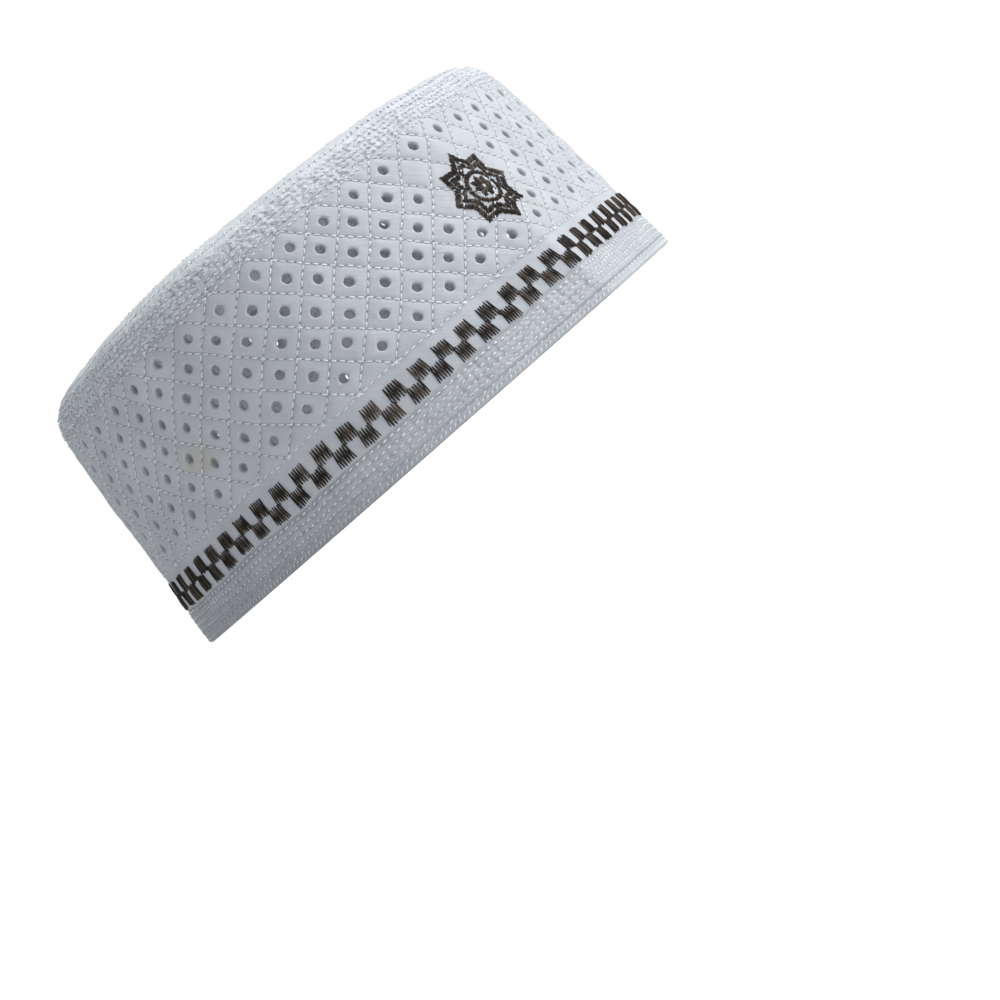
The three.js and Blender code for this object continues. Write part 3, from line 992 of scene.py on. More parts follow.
def thread_drawing(name, long, wide, thick, arch, taper=0.45, sides=5):
    """A short length of thread, arched in the middle. Taper is the share of it that narrows."""
    full, tip = 1 - taper, 1 - taper * TIP_SHARE
    stations = ((-tip, 0.66), (-full, 0.97), (0.0, 1.0), (full, 0.97), (tip, 0.66))
    points, faces = [], []
    for along, girth in stations:
        for k in range(sides):
            a = 2 * math.pi * k / sides
            lift = thick / 2 * girth * math.cos(a) + arch * (1 - along**2)
            points.append((along * long / 2, -wide / 2 * girth * math.sin(a), lift))
    for i in range(len(stations) - 1):
        faces += [face[::-1] for face in ring_faces(i * sides, (i + 1) * sides, sides)]
    points += [(-long / 2, 0.0, 0.0), (long / 2, 0.0, 0.0)]
    tail, head, last = len(points) - 2, len(points) - 1, (len(stations) - 1) * sides
    for k in range(sides):
        j = (k + 1) % sides
        faces += [(tail, k, j), (head, last + j, last + k)]
    return new_drawing(name, points, faces)


def build_row_group(material):
    """Sets stitches along lines, a little out of true, and lays them on the cap."""
    inputs = {"Lines": "Geometry", "Stitch": "Object", "Pitch": 2.4 * MM, "Seed": 1}
    inputs |= {"Stray": 0.07 * MM, "Turn": 0.0, "Turn stray": 0.08}
    outputs = {"Stitches": "Geometry"}
    b, start, end = new_group("Row of stitches", "GeometryNodeTree", inputs, outputs)
    lines = b.node("GeometryNodeMeshToCurve", {0: start["Lines"]}).outputs[0]
    feeds = {"Curve": lines, "Length": start["Pitch"]}
    places = b.node("GeometryNodeCurveToPoints", feeds, mode="LENGTH")
    along = b.node(
        "FunctionNodeAlignRotationToVector",
        {"Vector": places.outputs["Tangent"]},
        axis="X",
        pivot_axis="Z",
    ).outputs[0]

    def stray(amount, seed_step):
        """A random number between minus and plus the amount."""
        seed = b.plus(start["Seed"], float(seed_step))
        feeds = {"Seed": seed, 2: b.times(amount, -1.0), 3: amount}
        return b.node("FunctionNodeRandomValue", feeds, data_type="FLOAT").outputs[1]

    turn = b.plus(start["Turn"], stray(start["Turn stray"], 1))
    turned = b.node(
        "FunctionNodeRotateRotation",
        {"Rotation": along, "Rotate By": b.join(0.0, 0.0, turn)},
        rotation_space="LOCAL",
    ).outputs[0]
    long = b.plus(1.0, stray(STITCH_LENGTH_STRAY, 2))
    wide = b.plus(1.0, stray(STITCH_WIDTH_STRAY, 3))
    along_row, off_row = stray(STITCH_ALONG_STRAY, 4), stray(start["Stray"], 5)
    feeds = {
        "Points": places.outputs[0],
        "Instance": b.drawn(start["Stitch"]),
        "Rotation": turned,
        "Scale": b.join(long, wide, 1.0),
    }
    set_out = b.node("GeometryNodeInstanceOnPoints", feeds).outputs[0]
    feeds = {"Instances": set_out, "Translation": b.join(along_row, off_row, 0.0)}
    set_out = b.node("GeometryNodeTranslateInstances", feeds).outputs[0]
    set_out = b.store(set_out, "thread", stray(1.0, 6), "FLOAT", "INSTANCE")
    real = b.node("GeometryNodeRealizeInstances", {0: set_out}).outputs[0]
    b.feed(end[0], lay_and_dress(b, real, material))


def join_pieces(name, parts):
    """Several pieces as one."""
    with bpy.context.temp_override(
        active_object=parts[0], object=parts[0], selected_editable_objects=parts
    ):
        bpy.ops.object.join()
    parts[0].name = name
    parts[0].data.name = name
    return parts[0]


def sew_rows(scene, name, rows, seed, stray):
    """Rows of stitches round the cap at the heights in a table, as one piece."""
    around = rim_around(scene.kufi_shape)
    parts = []
    for number, row in enumerate(rows):
        count = round(around / (row["pitch"] * MM))
        xs = [-around / 2 + around * i / ROW_SIDES for i in range(ROW_SIDES + 1)]
        line_points = [(x, row["height"] * MM, 0.0) for x in xs]
        line = new_drawing("line", line_points, edges=[(i, i + 1) for i in range(ROW_SIDES)])
        long, wide = row["length"] * MM, row["width"] * MM
        stitch = thread_drawing("stitch", long, wide, wide * STITCH_FLATNESS, STITCH_ARCH)
        pitch = around / count * 1.0001  # a little over, so that no stitch is set twice
        inputs = {"Stitch": stitch, "Pitch": pitch, "Seed": seed + 10 * number}
        inputs |= {"Turn": row["turn"], "Stray": stray * MM}
        parts.append(
            make_piece(line, f"{name}_{number}", "Row of stitches", inputs, "stitched_cloth")
        )
        forget(stitch)
    return join_pieces(name, parts)


class OBJECT_OT_kufi_stitches(bpy.types.Operator):
    """Sew the quilting and the straight rows of white stitches"""

    bl_idname = "object.kufi_stitches"
    bl_label = "White Stitches"

    def execute(self, context):
        scene = context.scene
        quilting = scene.kufi_quilting
        need_laying_group(scene)
        build_row_group(need_white_thread(scene))
        column = rim_around(scene.kufi_shape) / quilting.columns
        run = column * quilting.rows / 2
        points, edges = [], []
        for i in range(quilting.columns):
            foot = (i + 0.5) * column
            for lean in (run, -run):
                edges.append((len(points), len(points) + 1))
                points += [(foot, quilting.bottom, 0.0), (foot + lean, quilting.top, 0.0)]
        lines = new_drawing("lines", points, edges=edges)
        thick = quilting.thread * STITCH_FLATNESS
        stitch = thread_drawing("stitch", quilting.stitch, quilting.thread, thick, STITCH_ARCH)
        inputs = {"Stitch": stitch, "Pitch": quilting.pitch, "Seed": LATTICE_STITCH_SEED}
        make_piece(lines, "lattice_stitches", "Row of stitches", inputs, "stitched_cloth")
        forget(stitch)
        sew_rows(scene, "hem_stitches", HEM_ROWS + LATTICE_FOOT, HEM_SEED, HEM_STRAY)
        sew_rows(scene, "top_stitches", TOP_ROWS, TOP_SEED, TOP_STRAY)
        sew_rows(scene, "crown_stitches", CROWN_ROWS, CROWN_SEED, CROWN_STRAY)
        return {"FINISHED"}


# Embroidery


THREAD_THICK = 0.36 * MM
THREAD_TAPER = 0.16  # share of a brown thread that narrows
THREAD_SIDES = 6
THREAD_SEED = 5
CHECK_ARCH, CHECK_SEED = 0.12 * MM, 11
STAR_ARCH, STAR_SEED = 0.15 * MM, 23
CHECK_STRAY = 0.25  # millimetres that a thread of a check strays up or down
ANGLE_STRAY = 0.04
WIDTH_STRAY = 0.1
CHECK_LENGTH_STRAY, RING_LENGTH_STRAY, FAN_LENGTH_STRAY = 0.09, 0.08, 0.03
FAN_LIFT = 0.05 * MM
STAR_CROWDING = 0.95  # pitch of the star's threads over that of the checks

# Rings of the star: inner and outer edge as shares of its reach, and how far the ring follows
# the star's points (1) or runs round (0)
STAR_RINGS = ((0.80, 1.0, 1.0), (0.59, 0.765, 1.0), (0.335, 0.44, 0.0))
STAR_TEETH = (0.3 * MM, 0.0, -0.25 * MM)  # added to the threads of a ring in turn

# A fan of threads stands under each point of the star, and a short ladder between two of them.
# Lengths are in millimetres.
FAN_SIDE = 2  # threads on each side of the middle one
FAN_SPREAD = 0.14
FAN_FOOT = 0.6
FAN_LENGTH, FAN_STEP = 3.4, 0.5
LADDER_RUNGS = 5
LADDER_FOOT, LADDER_PITCH = 6.9, 0.46
LADDER_LENGTH, LADDER_STEP = 1.5, 0.2


def build_laid_group(material):
    """Lays one thread on each point, at the point's own angle, length and height."""
    inputs = {"Places": "Geometry", "Thread": "Object", "Seed": 1}
    outputs = {"Threads": "Geometry"}
    b, start, end = new_group("Laid threads", "GeometryNodeTree", inputs, outputs)
    feeds = {
        "Points": start["Places"],
        "Instance": b.drawn(start["Thread"]),
        "Rotation": b.join(0.0, 0.0, b.stored("angle")),
        "Scale": b.join(b.stored("length"), b.stored("width"), 1.0),
    }
    set_out = b.node("GeometryNodeInstanceOnPoints", feeds).outputs[0]
    chance = b.node("FunctionNodeRandomValue", {"Seed": start["Seed"]}, data_type="FLOAT")
    set_out = b.store(set_out, "thread", chance.outputs[1], "FLOAT", "INSTANCE")
    real = b.node("GeometryNodeRealizeInstances", {0: set_out}).outputs[0]
    b.feed(end[0], lay_and_dress(b, real, material))


class ThreadPlan:
    """Places of laid threads, gathered one by one."""

    def __init__(self, seed):
        self.chance = random.Random(seed)
        self.points, self.angles, self.lengths, self.widths = [], [], [], []

    def add(self, x, y, angle, long, lift, stray):
        """One thread by its middle, its angle from the way round, its length and its lift.

        Stray is the share of its length by which it may be longer or shorter.
        """
        self.points.append((x, y, lift))
        self.angles.append(angle + self.chance.uniform(-1, 1) * ANGLE_STRAY)
        self.lengths.append(long * (1 + self.chance.uniform(-1, 1) * stray) / MM)
        self.widths.append(1 + self.chance.uniform(-1, 1) * WIDTH_STRAY)

    def lay(self, name, wide, arch, *nodes):
        """Makes the piece."""
        numbers = {"angle": self.angles, "length": self.lengths, "width": self.widths}
        places = new_drawing("places", self.points, numbers=numbers)
        thread = thread_drawing(
            "thread", 1 * MM, wide, THREAD_THICK, arch, THREAD_TAPER, THREAD_SIDES
        )
        inputs = {"Thread": thread, "Seed": THREAD_SEED}
        make_piece(places, name, "Laid threads", inputs, "brown_thread", *nodes)
        forget(thread)


def plan_checks(scene):
    """Threads of the two rows of checks, in pairs that meet in a narrow V."""
    plan = ThreadPlan(CHECK_SEED)
    embroidery = scene.kufi_embroidery
    step = rim_around(scene.kufi_shape) / embroidery.pairs
    count = round(embroidery.check_width / embroidery.pitch)
    zigzag = math.atan(embroidery.pitch / embroidery.check_height)
    for k in range(embroidery.pairs):
        for side in (0, 1):
            middle = (k + side / 2) * step
            low = embroidery.bottom + embroidery.check_height / 2
            high = embroidery.top - embroidery.check_height / 2
            for j in range(count):
                x = middle + (j - (count - 1) / 2) * embroidery.pitch
                lean = zigzag if j % 2 else -zigzag
                y = high if side else low
                y += plan.chance.uniform(-CHECK_STRAY, CHECK_STRAY) * MM
                lift = 0.06 * MM * (j % 2) + plan.chance.uniform(0, 0.12) * MM
                long = embroidery.check_height
                plan.add(x, y, math.pi / 2 + lean, long, lift, CHECK_LENGTH_STRAY)
    return plan


def star_reach(scene, angle):
    """Distance from the star's middle to its edge in a direction."""
    embroidery = scene.kufi_embroidery
    wedge = math.pi / embroidery.star_points
    off = abs((angle + wedge) % (2 * wedge) - wedge)
    tip = np.array([1.0, 0.0])
    waist = embroidery.star_waist * np.array([math.cos(wedge), math.sin(wedge)])
    ray = np.array([math.cos(off), math.sin(off)])
    edge = waist - tip
    reach = (tip[0] * edge[1] - tip[1] * edge[0]) / (ray[0] * edge[1] - ray[1] * edge[0])
    return reach * embroidery.star_radius


def plan_star(scene):
    """Threads of the star: two rings that follow its points, a round one, fans and ladders."""
    plan = ThreadPlan(STAR_SEED)
    embroidery = scene.kufi_embroidery
    cy = embroidery.star_height
    for inner, outer, follows in STAR_RINGS:
        angle, number = 0.0, 0
        while angle < 2 * math.pi:
            edge = star_reach(scene, angle + math.pi / 2)
            reach = follows * edge + (1 - follows) * embroidery.star_radius
            middle = reach * (inner + outer) / 2
            x, y = -middle * math.sin(angle), middle * math.cos(angle)
            long = reach * (outer - inner) + STAR_TEETH[number % len(STAR_TEETH)]
            lift = plan.chance.uniform(0, 0.15) * MM
            plan.add(x, cy + y, angle + math.pi / 2, long, lift, RING_LENGTH_STRAY)
            number += 1
            angle += embroidery.pitch * STAR_CROWDING / middle
    points = embroidery.star_points
    for k in range(points):
        angle = 2 * math.pi * k / points
        for j in range(-FAN_SIDE, FAN_SIDE + 1):
            spread = angle + j * FAN_SPREAD
            long = (FAN_LENGTH - FAN_STEP * abs(j)) * MM
            middle = FAN_FOOT * MM + long / 2
            x, y = -middle * math.sin(spread), middle * math.cos(spread)
            plan.add(x, cy + y, spread + math.pi / 2, long, FAN_LIFT, FAN_LENGTH_STRAY)
        spread = angle + math.pi / points
        for j in range(LADDER_RUNGS):
            middle = (LADDER_FOOT + LADDER_PITCH * j) * MM
            x, y = -middle * math.sin(spread), middle * math.cos(spread)
            long = (LADDER_LENGTH - LADDER_STEP * j) * MM
            plan.add(x, cy + y, spread, long, FAN_LIFT, FAN_LENGTH_STRAY)
    return plan


class OBJECT_OT_kufi_embroidery(bpy.types.Operator):
    """Embroider the brown checks and the star"""

    bl_idname = "object.kufi_embroidery"
    bl_label = "Brown Embroidery"

    def execute(self, context):
        scene = context.scene
        need_laying_group(scene)
        build_laid_group(need_brown_thread(scene))
        wide = scene.kufi_embroidery.thread
        plan_checks(scene).lay("check_threads", wide, CHECK_ARCH, "check_border")
        plan_star(scene).lay("star_threads", wide, STAR_ARCH, "front_star")
        return {"FINISHED"}


# Materials


CROWN_CLOTH = "crown_cotton"
WEAVE = 0.40 * MM  # from one thread of the cloth to the next
MOTTLE_SCALE = 70.0  # noise scales, per metre, from the broadest to the finest
DRIFT_OF_TINT_SCALE = 110.0
STAIN_SCALE = 200.0
STREAK_SCALE = 420.0
LUMP_SCALE = 900.0
TWIST_SCALE = 3200.0
TWIST_DEPTH = 0.06 * MM
STAIN_PLACE = (-0.125, 0.040, 0.0)
STREAK_DEPTH = 0.18 * MM
STREAK_SLOPE = 1.3
STREAK_STRETCH = 0.16
FURROW_DEPTH = 0.05 * MM
PIT_DEPTH = 0.1 * MM
FURROW_SHADE = 0.12  # share of the painted seam shade in a furrow and in a pit
PIT_SHADE = 0.55
CLOTH_SPECULAR = 0.35
CLOTH_SHEEN = 0.05
WHITE_ROUGHNESS, WHITE_SPECULAR = 0.36, 0.6  # white sewing thread
BROWN_ROUGHNESS, BROWN_SPECULAR = 0.5, 0.25
WALL_DEPTHS = (0.003 * MM, 0.02 * MM)  # bump of a cloth's weave and of its lumps
BAND_DEPTHS = (0.02 * MM, 0.06 * MM)
MARKS = {"Furrow": "Float", "Pit": "Float"}
# Shade is the share of painted shade in the corners between the pillows.
HEM_PILLOWS = {
    "shape": {"Width": 2.6 * MM, "Height": 2.0 * MM, "Disorder": 0.55},
    "reach": {"Low": 2.55 * MM, "High": 11.6 * MM},
    "depth": 0.55 * MM,
    "shade": 0.16,
}
TOP_PILLOWS = {
    "shape": {"Width": 1.75 * MM, "Height": 1.5 * MM, "Disorder": 1.0},
    "reach": {"Low": 70 * MM, "High": 81 * MM},
    "depth": 0.42 * MM,
    "shade": 0.22,
}


def flat_place(b):
    """Where a point of the surface was in the flat drawing."""
    return b.node("ShaderNodeAttribute", attribute_name="flat").outputs["Vector"]


def need_grain_group():
    """Weave, fine lumps, broad mottling and slanted streaks of cloth, each from 0 to 1."""
    name = "Cloth grain"
    if name not in bpy.data.node_groups:
        inputs = {"Place": "Vector", "Weave": 0.45 * MM}
        outputs = {label: "Float" for label in ("Threads", "Lumps", "Mottle", "Streaks")}
        b, start, end = new_group(name, "ShaderNodeTree", inputs, outputs)
        flat_x, flat_y, _ = b.split(start["Place"])
        along = b.minus(flat_y, b.times(flat_x, STREAK_SLOPE))
        over = b.math("MULTIPLY_ADD", flat_y, STREAK_SLOPE, flat_x)
        streak_place = b.join(b.times(along, STREAK_STRETCH), over, 0.0)
        b.feed(end["Streaks"], b.noise(streak_place, STREAK_SCALE, 2.0))
        place = b.vector("SCALE", start["Place"], scale=b.over(math.pi, start["Weave"]))
        x, y, _ = b.split(place)
        crossing = b.times(b.math("SINE", x), b.math("SINE", y))
        b.feed(end["Threads"], b.math("MULTIPLY_ADD", crossing, 0.5, 0.5))
        b.feed(end["Lumps"], b.noise(start["Place"], LUMP_SCALE, 3.0))
        b.feed(end["Mottle"], b.noise(start["Place"], MOTTLE_SCALE, 3.0))
    return bpy.data.node_groups[name]


def need_pillows_group():
    """Small pillows that close rows of stitches raise in cloth, and the corners between them, which
    get painted shade.
    """
    name = "Pillows"
    if name not in bpy.data.node_groups:
        inputs = {"Place": "Vector", "Width": 2.4 * MM, "Height": 2.0 * MM, "Disorder": 0.5}
        inputs |= {"Low": 0.0, "High": 1.0}
        outputs = {"Pillow": "Float", "Corner": "Float"}
        b, start, end = new_group(name, "ShaderNodeTree", inputs, outputs)
        x, y, _ = b.split(start["Place"])
        up = b.minus(y, start["Low"])
        across = b.over(x, start["Width"])
        place = b.join(across, b.over(up, start["Height"]), 0.0)
        feeds = {"Vector": place, "Scale": 1.0, "Smoothness": 0.35}
        feeds |= {"Randomness": start["Disorder"]}
        settings = {"voronoi_dimensions": "2D", "feature": "SMOOTH_F1"}
        cells = b.node("ShaderNodeTexVoronoi", feeds, **settings).outputs["Distance"]
        left = b.minus(start["High"], y)
        inside = b.times(b.ramp(up, 0.0, 0.0012), b.ramp(left, 0.0, 0.0012))
        round_top = b.minus(1.0, b.times(cells, cells))
        b.feed(end["Pillow"], b.times(round_top, inside))
        b.feed(end["Corner"], b.times(b.ramp(cells, 0.42, 0.62), inside))
    return bpy.data.node_groups[name]


def needle_pits(b, line, along):
    """Pits in a furrow, one between each two stitches, by the count of stitches along it."""
    gap = b.off_half(b.math("FRACT", along))
    return b.times(line, b.ramp(gap, 0.03, 0.10, 1.0, 0.0))


def need_quilting_marks_group():
    """Furrows of the slanted seams, and the needle pits between their stitches, from 0 to 1."""
    name = "Quilting marks"
    if name not in bpy.data.node_groups:
        inputs = {"Place": "Vector"}
        inputs |= {label: 0.01 for label in ("Column", "Row", "Bottom", "Top", "Pitch")}
        b, start, end = new_group(name, "ShaderNodeTree", inputs, MARKS)
        x, y, _ = b.split(start["Place"])
        above = b.minus(y, start["Bottom"])
        across = b.over(x, start["Column"])
        two_rows = b.times(start["Row"], 2.0)
        slant = b.over(above, two_rows)
        steepness = b.math("POWER", b.over(start["Column"], two_rows), 2.0)
        stretch = b.math("SQRT", b.plus(steepness, 1.0))
        spacing = b.over(start["Column"], stretch)
        inside = b.math("GREATER_THAN", above, 0.0)
        inside = b.times(inside, b.math("LESS_THAN", y, start["Top"]))
        lines = []
        for operation in ("SUBTRACT", "ADD"):
            phase = b.math("FRACT", b.math(operation, across, slant))
            off = b.times(b.off_half(phase), spacing)
            lines.append(b.ramp(off, 0.0001, 0.0005, 1.0, 0.0))
        line = b.times(b.math("MAXIMUM", lines[0], lines[1]), inside)
        along = b.over(b.times(above, stretch), start["Pitch"])
        b.feed(end["Furrow"], line)
        b.feed(end["Pit"], needle_pits(b, line, along))
    return bpy.data.node_groups[name]


def need_row_marks_group():
    """Furrow of one straight row of stitches and its needle pits, from 0 to 1."""
    name = "Row marks"
    if name not in bpy.data.node_groups:
        inputs = {"Place": "Vector", "Height": 0.0, "Stitches per metre": 400.0, "Offset": 0.0}
        b, start, end = new_group(name, "ShaderNodeTree", inputs, MARKS)
        x, y, _ = b.split(start["Place"])
        off = b.math("ABSOLUTE", b.minus(y, start["Height"]))
        line = b.ramp(off, 0.0001, 0.0005, 1.0, 0.0)
        along = b.math("MULTIPLY_ADD", x, start["Stitches per metre"], start["Offset"])
        b.feed(end["Furrow"], line)
        b.feed(end["Pit"], needle_pits(b, line, along))
    return bpy.data.node_groups[name]


def new_material(name):
    """A new material, its bench and its shader."""
    material = bpy.data.materials.new(name)
    material.use_nodes = True
    material.node_tree.nodes.clear()
    b = Bench(material.node_tree)
    shader = b.node("ShaderNodeBsdfPrincipled")
    output = b.node("ShaderNodeOutputMaterial")
    b.tree.links.new(shader.outputs[0], output.inputs[0])
    return material, b, shader


def rgba(values):
    """A colour property as a socket's value."""
    return (*values, 1.0)


def place_group(b, group, inputs):
    """Outputs of a node group whose inputs are fed by name."""
    return b.node("ShaderNodeGroup", inputs, node_tree=group).outputs


def sewn_marks(scene, b, place, rows, lattice):
    """Furrows and needle pits of all the seams in a cloth, as two masks."""
    around = rim_around(scene.kufi_shape)
    quilting = scene.kufi_quilting
    found = []
    if lattice:
        inputs = {
            "Place": place,
            "Column": around / quilting.columns,
            "Row": (quilting.top - quilting.bottom) / quilting.rows,
            "Bottom": quilting.bottom,
            "Top": quilting.top,
            "Pitch": quilting.pitch,
        }
        found.append(place_group(b, need_quilting_marks_group(), inputs))
    for row in rows:
        count = round(around / (row["pitch"] * MM))
        inputs = {
            "Place": place,
            "Height": row["height"] * MM,
            "Stitches per metre": count / around,
            "Offset": count / 2,
        }
        found.append(place_group(b, need_row_marks_group(), inputs))
    furrow, pit = found[0]["Furrow"], found[0]["Pit"]
    for marks in found[1:]:
        furrow = b.math("MAXIMUM", furrow, marks["Furrow"])
        pit = b.math("MAXIMUM", pit, marks["Pit"])
    return furrow, pit


def add_cloth_material(scene, name, rows, lattice, depths, pillows=None, white=1.0):
    """White cloth: grain, mottling, a faint mark, the furrows and pits of its seams darkened with
    painted shade, and a lightness that is painted light from above where it is over 1.

    The crown's flat drawing runs together in the middle, so its grain goes by the real place.
    """
    colours = scene.kufi_colours
    # The seam shade colour is painted shade for the furrows, the pits and the pillows' corners.
    seam_shade = rgba(colours.seam_shade)
    weave_depth, lump_depth = depths
    _, b, shader = new_material(name)
    place = flat_place(b)
    grain_place = place
    if name == CROWN_CLOTH:
        grain_place = b.node("ShaderNodeTexCoord").outputs["Object"]
    grain = place_group(b, need_grain_group(), {"Place": grain_place, "Weave": WEAVE})
    furrow, pit = sewn_marks(scene, b, place, rows, lattice)
    # Over 1, the lightness is painted light from above, on the top band and the crown.
    shade, cloth = ([part * white for part in kind] for kind in (colours.shade, colours.cloth))
    tint = b.mix(b.ramp(grain["Mottle"], 0.35, 0.65), rgba(shade), rgba(cloth))
    off_stain = b.vector("SUBTRACT", place, STAIN_PLACE)
    off_stain = b.vector("LENGTH", b.vector("MULTIPLY", off_stain, (1.0, 1.4, 0.0)))
    edge = b.math("MULTIPLY_ADD", b.noise(place, STAIN_SCALE, 2.0), 0.006, off_stain)
    tint = b.mix(b.ramp(edge, 0.005, 0.013, 0.5, 0.0), tint, rgba(colours.stain))
    # Painted shade along the furrows of the seams.
    tint = b.mix(b.times(furrow, FURROW_SHADE), tint, seam_shade)
    height = b.times(grain["Threads"], weave_depth)
    if pillows:
        inputs = {"Place": place} | pillows["shape"] | pillows["reach"]
        raised = place_group(b, need_pillows_group(), inputs)
        # Painted shade in the corners between the pillows.
        tint = b.mix(b.times(raised["Corner"], pillows["shade"]), tint, seam_shade)
        height = b.math("MULTIPLY_ADD", raised["Pillow"], pillows["depth"], height)
    else:
        height = b.math("MULTIPLY_ADD", grain["Streaks"], STREAK_DEPTH, height)
    # Painted shade in the needle pits.
    tint = b.mix(b.times(pit, PIT_SHADE), tint, seam_shade)
    b.feed(shader.inputs["Base Color"], tint)
    rough = b.ramp(grain["Lumps"], 0.3, 0.7, 0.62, 0.5)
    b.feed(shader.inputs["Roughness"], rough)
    height = b.math("MULTIPLY_ADD", grain["Lumps"], lump_depth, height)
    height = b.math("MULTIPLY_ADD", furrow, -FURROW_DEPTH, height)
    height = b.math("MULTIPLY_ADD", pit, -PIT_DEPTH, height)
    bump = b.node("ShaderNodeBump", {"Strength": 1.0, "Distance": 1.0, "Height": height})
    b.feed(shader.inputs["Normal"], bump.outputs[0])
    b.feed(shader.inputs["Specular IOR Level"], CLOTH_SPECULAR)
    b.feed(shader.inputs["Sheen Weight"], CLOTH_SHEEN)


def need_cloth(scene):
    """Smooth cloth of the quilted wall."""
    name = "quilted_cotton"
    if name not in bpy.data.materials:
        rows = LATTICE_FOOT + TOP_ROWS[:1]
        add_cloth_material(scene, name, rows, True, WALL_DEPTHS)
    return bpy.data.materials[name]


def need_band_cloth(scene, name, rows, pillows, white):
    """Woven cloth of the hem, the top band or the crown, with its own rows of stitches."""
    if name not in bpy.data.materials:
        add_cloth_material(scene, name, rows, False, BAND_DEPTHS, pillows, white)
    return bpy.data.materials[name]


def add_thread_material(name, first, second, third, roughness, specular):
    """Twisted thread of two drifting colours, with some lengths in a third; in the brown thread the
    third is a painted highlight.
    """
    _, b, shader = new_material(name)
    place = flat_place(b)
    chance = b.node("ShaderNodeAttribute", attribute_name="thread").outputs["Fac"]
    chance = b.math("ABSOLUTE", chance)
    drift = b.ramp(b.noise(place, DRIFT_OF_TINT_SCALE, 1.0), 0.4, 0.6)
    tint = b.mix(drift, first, second)
    # For the brown thread the third colour is a painted highlight on some threads.
    tint = b.mix(b.ramp(chance, 0.6, 1.0), tint, third)
    b.feed(shader.inputs["Base Color"], tint)
    twist = b.noise(place, TWIST_SCALE, 2.0)
    bump = b.node("ShaderNodeBump", {"Strength": 1.0, "Distance": TWIST_DEPTH, "Height": twist})
    b.feed(shader.inputs["Normal"], bump.outputs[0])
    b.feed(shader.inputs["Roughness"], roughness)
    b.feed(shader.inputs["Specular IOR Level"], specular)


def need_white_thread(scene):
    """White sewing thread."""
    name = "white_thread"
    if name not in bpy.data.materials:
        tints = [rgba([c * share for c in scene.kufi_colours.stitch]) for share in (1, 0.95, 0.88)]
        add_thread_material(name, *tints, WHITE_ROUGHNESS, WHITE_SPECULAR)
    return bpy.data.materials[name]


def need_brown_thread(scene):
    """Brown embroidery thread."""
    name = "embroidery_thread"
    if name not in bpy.data.materials:
        colours = scene.kufi_colours
        tints = [rgba(tint) for tint in (colours.brown, colours.olive, colours.pale_highlight)]
        add_thread_material(name, *tints, BROWN_ROUGHNESS, BROWN_SPECULAR)
    return bpy.data.materials[name]


# Stage


FLOOR_HALF = 12.0
SQUARE = ((-1, -1), (1, -1), (1, 1), (-1, 1))
SHADED_SHARE = 0.93  # of the covered floor: inside it the floor stays grey to the camera, a painted shadow under the cap
SKY_BRIGHT = (0.42, -0.38, 1.0)  # direction of the studio's lit side
SKY_TINT = (0.94, 0.97, 1.0, 1.0)
SKY_SEEN = 1.05  # strength of the plain white sky that the camera sees
LAMP_TINT = (1.0, 0.995, 0.98)
LAMPS = {
    # Place, point it looks at, and length of a side
    "key": ((0.85, -0.85, 0.95), (0, 0, 0.04), 0.9),
    "top": ((0.1, 0.35, 1.4), (0, 0, 0.04), 1.0),
    "inner_glow": ((0, 0, 0.003), (0, 0, 1), 0.1),
}
SENSOR_WIDTH = 36.0
CLIP_START = 0.01


def add_light(name, place, aim, long, energy):
    """A square soft light."""
    light = bpy.data.lights.new(name, "AREA")
    light.shape = "SQUARE"
    light.size = long
    light.energy = energy
    light.color = LAMP_TINT
    lamp = bpy.data.objects.new(name, light)
    lamp.location = place
    lamp.rotation_euler = (Vector(place) - Vector(aim)).to_track_quat("Z", "Y").to_euler()
    bpy.context.scene.collection.objects.link(lamp)


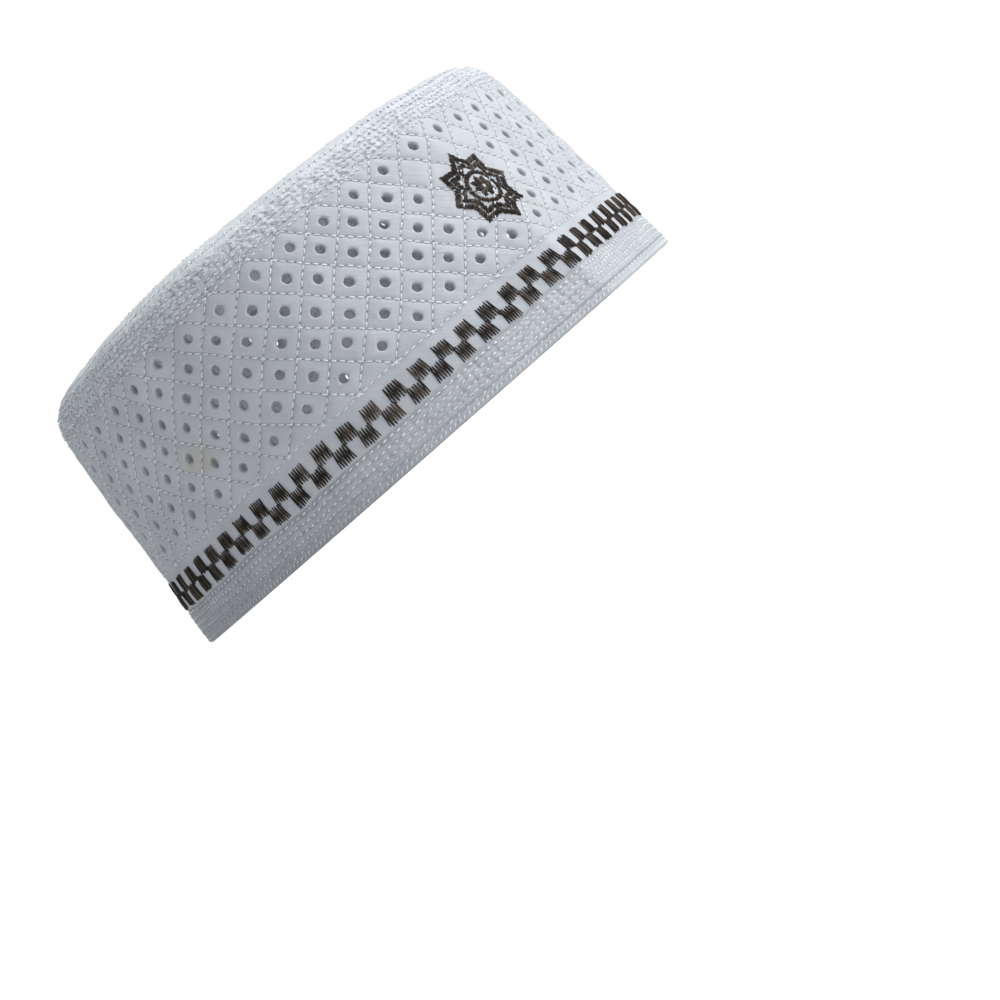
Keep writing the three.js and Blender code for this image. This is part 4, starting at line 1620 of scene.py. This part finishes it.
class OBJECT_OT_kufi_stage(bpy.types.Operator):
    """Set up the floor, the lights and the camera"""

    bl_idname = "object.kufi_stage"
    bl_label = "Stage"

    def execute(self, context):
        scene = context.scene
        stage = scene.kufi_stage
        scene.view_settings.view_transform = "Standard"
        mesh = bpy.data.meshes.new("floor")
        corners = [(x * FLOOR_HALF, y * FLOOR_HALF, 0) for x, y in SQUARE]
        mesh.from_pydata(corners, [], [(0, 1, 2, 3)])
        floor = bpy.data.objects.new("floor", mesh)
        scene.collection.objects.link(floor)
        material, b, shader = new_material("floor")
        b.feed(shader.inputs["Base Color"], rgba(scene.kufi_colours.floor))
        b.feed(shader.inputs["Roughness"], 1.0)
        b.feed(shader.inputs["Specular IOR Level"], 0.0)
        ray = b.node("ShaderNodeLightPath").outputs["Is Camera Ray"]
        spot = b.node("ShaderNodeTexCoord").outputs["Object"]
        # Under the cap the camera-only whiteness is left out: a painted shadow, shaped as a disc.
        covered = least_reach(scene.kufi_shape) - scene.kufi_shape.wall
        in_the_open = b.ramp(b.vector("LENGTH", spot), covered * SHADED_SHARE, covered)
        bright = b.times(ray, in_the_open)
        glow = b.mix(bright, rgba([stage.floor_glow] * 3), rgba([stage.floor_shine] * 3))
        b.feed(shader.inputs["Emission Color"], glow)
        b.feed(shader.inputs["Emission Strength"], 1.0)
        mesh.materials.append(material)

        world = bpy.data.worlds.new("studio")
        scene.world = world
        world.use_nodes = True
        world.node_tree.nodes.clear()
        b = Bench(world.node_tree)
        direction = b.node("ShaderNodeTexCoord").outputs["Generated"]
        toward = b.vector("DOT_PRODUCT", direction, tuple(Vector(SKY_BRIGHT).normalized()))
        glow = b.ramp(toward, -0.6, 1.0, stage.sky_dim, stage.sky_bright)
        feeds = {"Color": (1.0, 1.0, 1.0, 1.0), "Strength": SKY_SEEN}
        seen = b.node("ShaderNodeBackground", feeds)
        soft = b.node("ShaderNodeBackground", {"Color": SKY_TINT, "Strength": glow})
        ray = b.node("ShaderNodeLightPath").outputs["Is Camera Ray"]
        mixed = b.node("ShaderNodeMixShader", {0: ray, 1: soft.outputs[0], 2: seen.outputs[0]})
        output = b.node("ShaderNodeOutputWorld")
        b.tree.links.new(mixed.outputs[0], output.inputs[0])

        for name, (place, look_at, long) in LAMPS.items():
            add_light(name, place, look_at, long, getattr(stage, name))

        camera = bpy.data.cameras.new("camera")
        camera.lens = stage.lens
        camera.sensor_width = SENSOR_WIDTH
        camera.dof.use_dof = False
        camera.clip_start = CLIP_START
        aim = Vector(stage.aim)
        x = aim.x + math.sin(stage.azimuth) * stage.distance
        y = aim.y - math.cos(stage.azimuth) * stage.distance
        place = Vector((x, y, stage.camera_height))
        eye = bpy.data.objects.new("camera", camera)
        eye.rotation_mode = "QUATERNION"
        upright = (place - aim).to_track_quat("Z", "Y")
        eye.rotation_quaternion = upright @ Quaternion((0, 0, 1), -stage.roll)
        eye.location = place
        scene.collection.objects.link(eye)
        scene.camera = eye
        return {"FINISHED"}


class VIEW3D_PT_kufi(bpy.types.Panel):
    """Buttons for each part of the cap"""

    bl_label = "Quilted Kufi"
    bl_space_type = "VIEW_3D"
    bl_region_type = "UI"
    bl_category = "Kufi"

    def draw(self, context):
        for operator in OPERATORS:
            self.layout.operator(operator.bl_idname)


OPERATORS = (
    OBJECT_OT_kufi_wall,
    OBJECT_OT_kufi_bands,
    OBJECT_OT_kufi_stitches,
    OBJECT_OT_kufi_embroidery,
    OBJECT_OT_kufi_stage,
)
PROPERTY_GROUPS = {
    "kufi_shape": KufiShape,
    "kufi_quilting": KufiQuilting,
    "kufi_embroidery": KufiEmbroidery,
    "kufi_colours": KufiColours,
    "kufi_stage": KufiStage,
}


def register():
    for name, group in PROPERTY_GROUPS.items():
        bpy.utils.register_class(group)
        setattr(bpy.types.Scene, name, PointerProperty(type=group))
    for operator in OPERATORS:
        bpy.utils.register_class(operator)
    bpy.utils.register_class(VIEW3D_PT_kufi)


def unregister():
    bpy.utils.unregister_class(VIEW3D_PT_kufi)
    for operator in reversed(OPERATORS):
        bpy.utils.unregister_class(operator)
    for name, group in reversed(PROPERTY_GROUPS.items()):
        delattr(bpy.types.Scene, name)
        bpy.utils.unregister_class(group)


def main():
    register()
    bpy.ops.object.kufi_wall()
    bpy.ops.object.kufi_bands()
    bpy.ops.object.kufi_stitches()
    bpy.ops.object.kufi_embroidery()
    bpy.ops.object.kufi_stage()


if __name__ == "__main__":
    main()
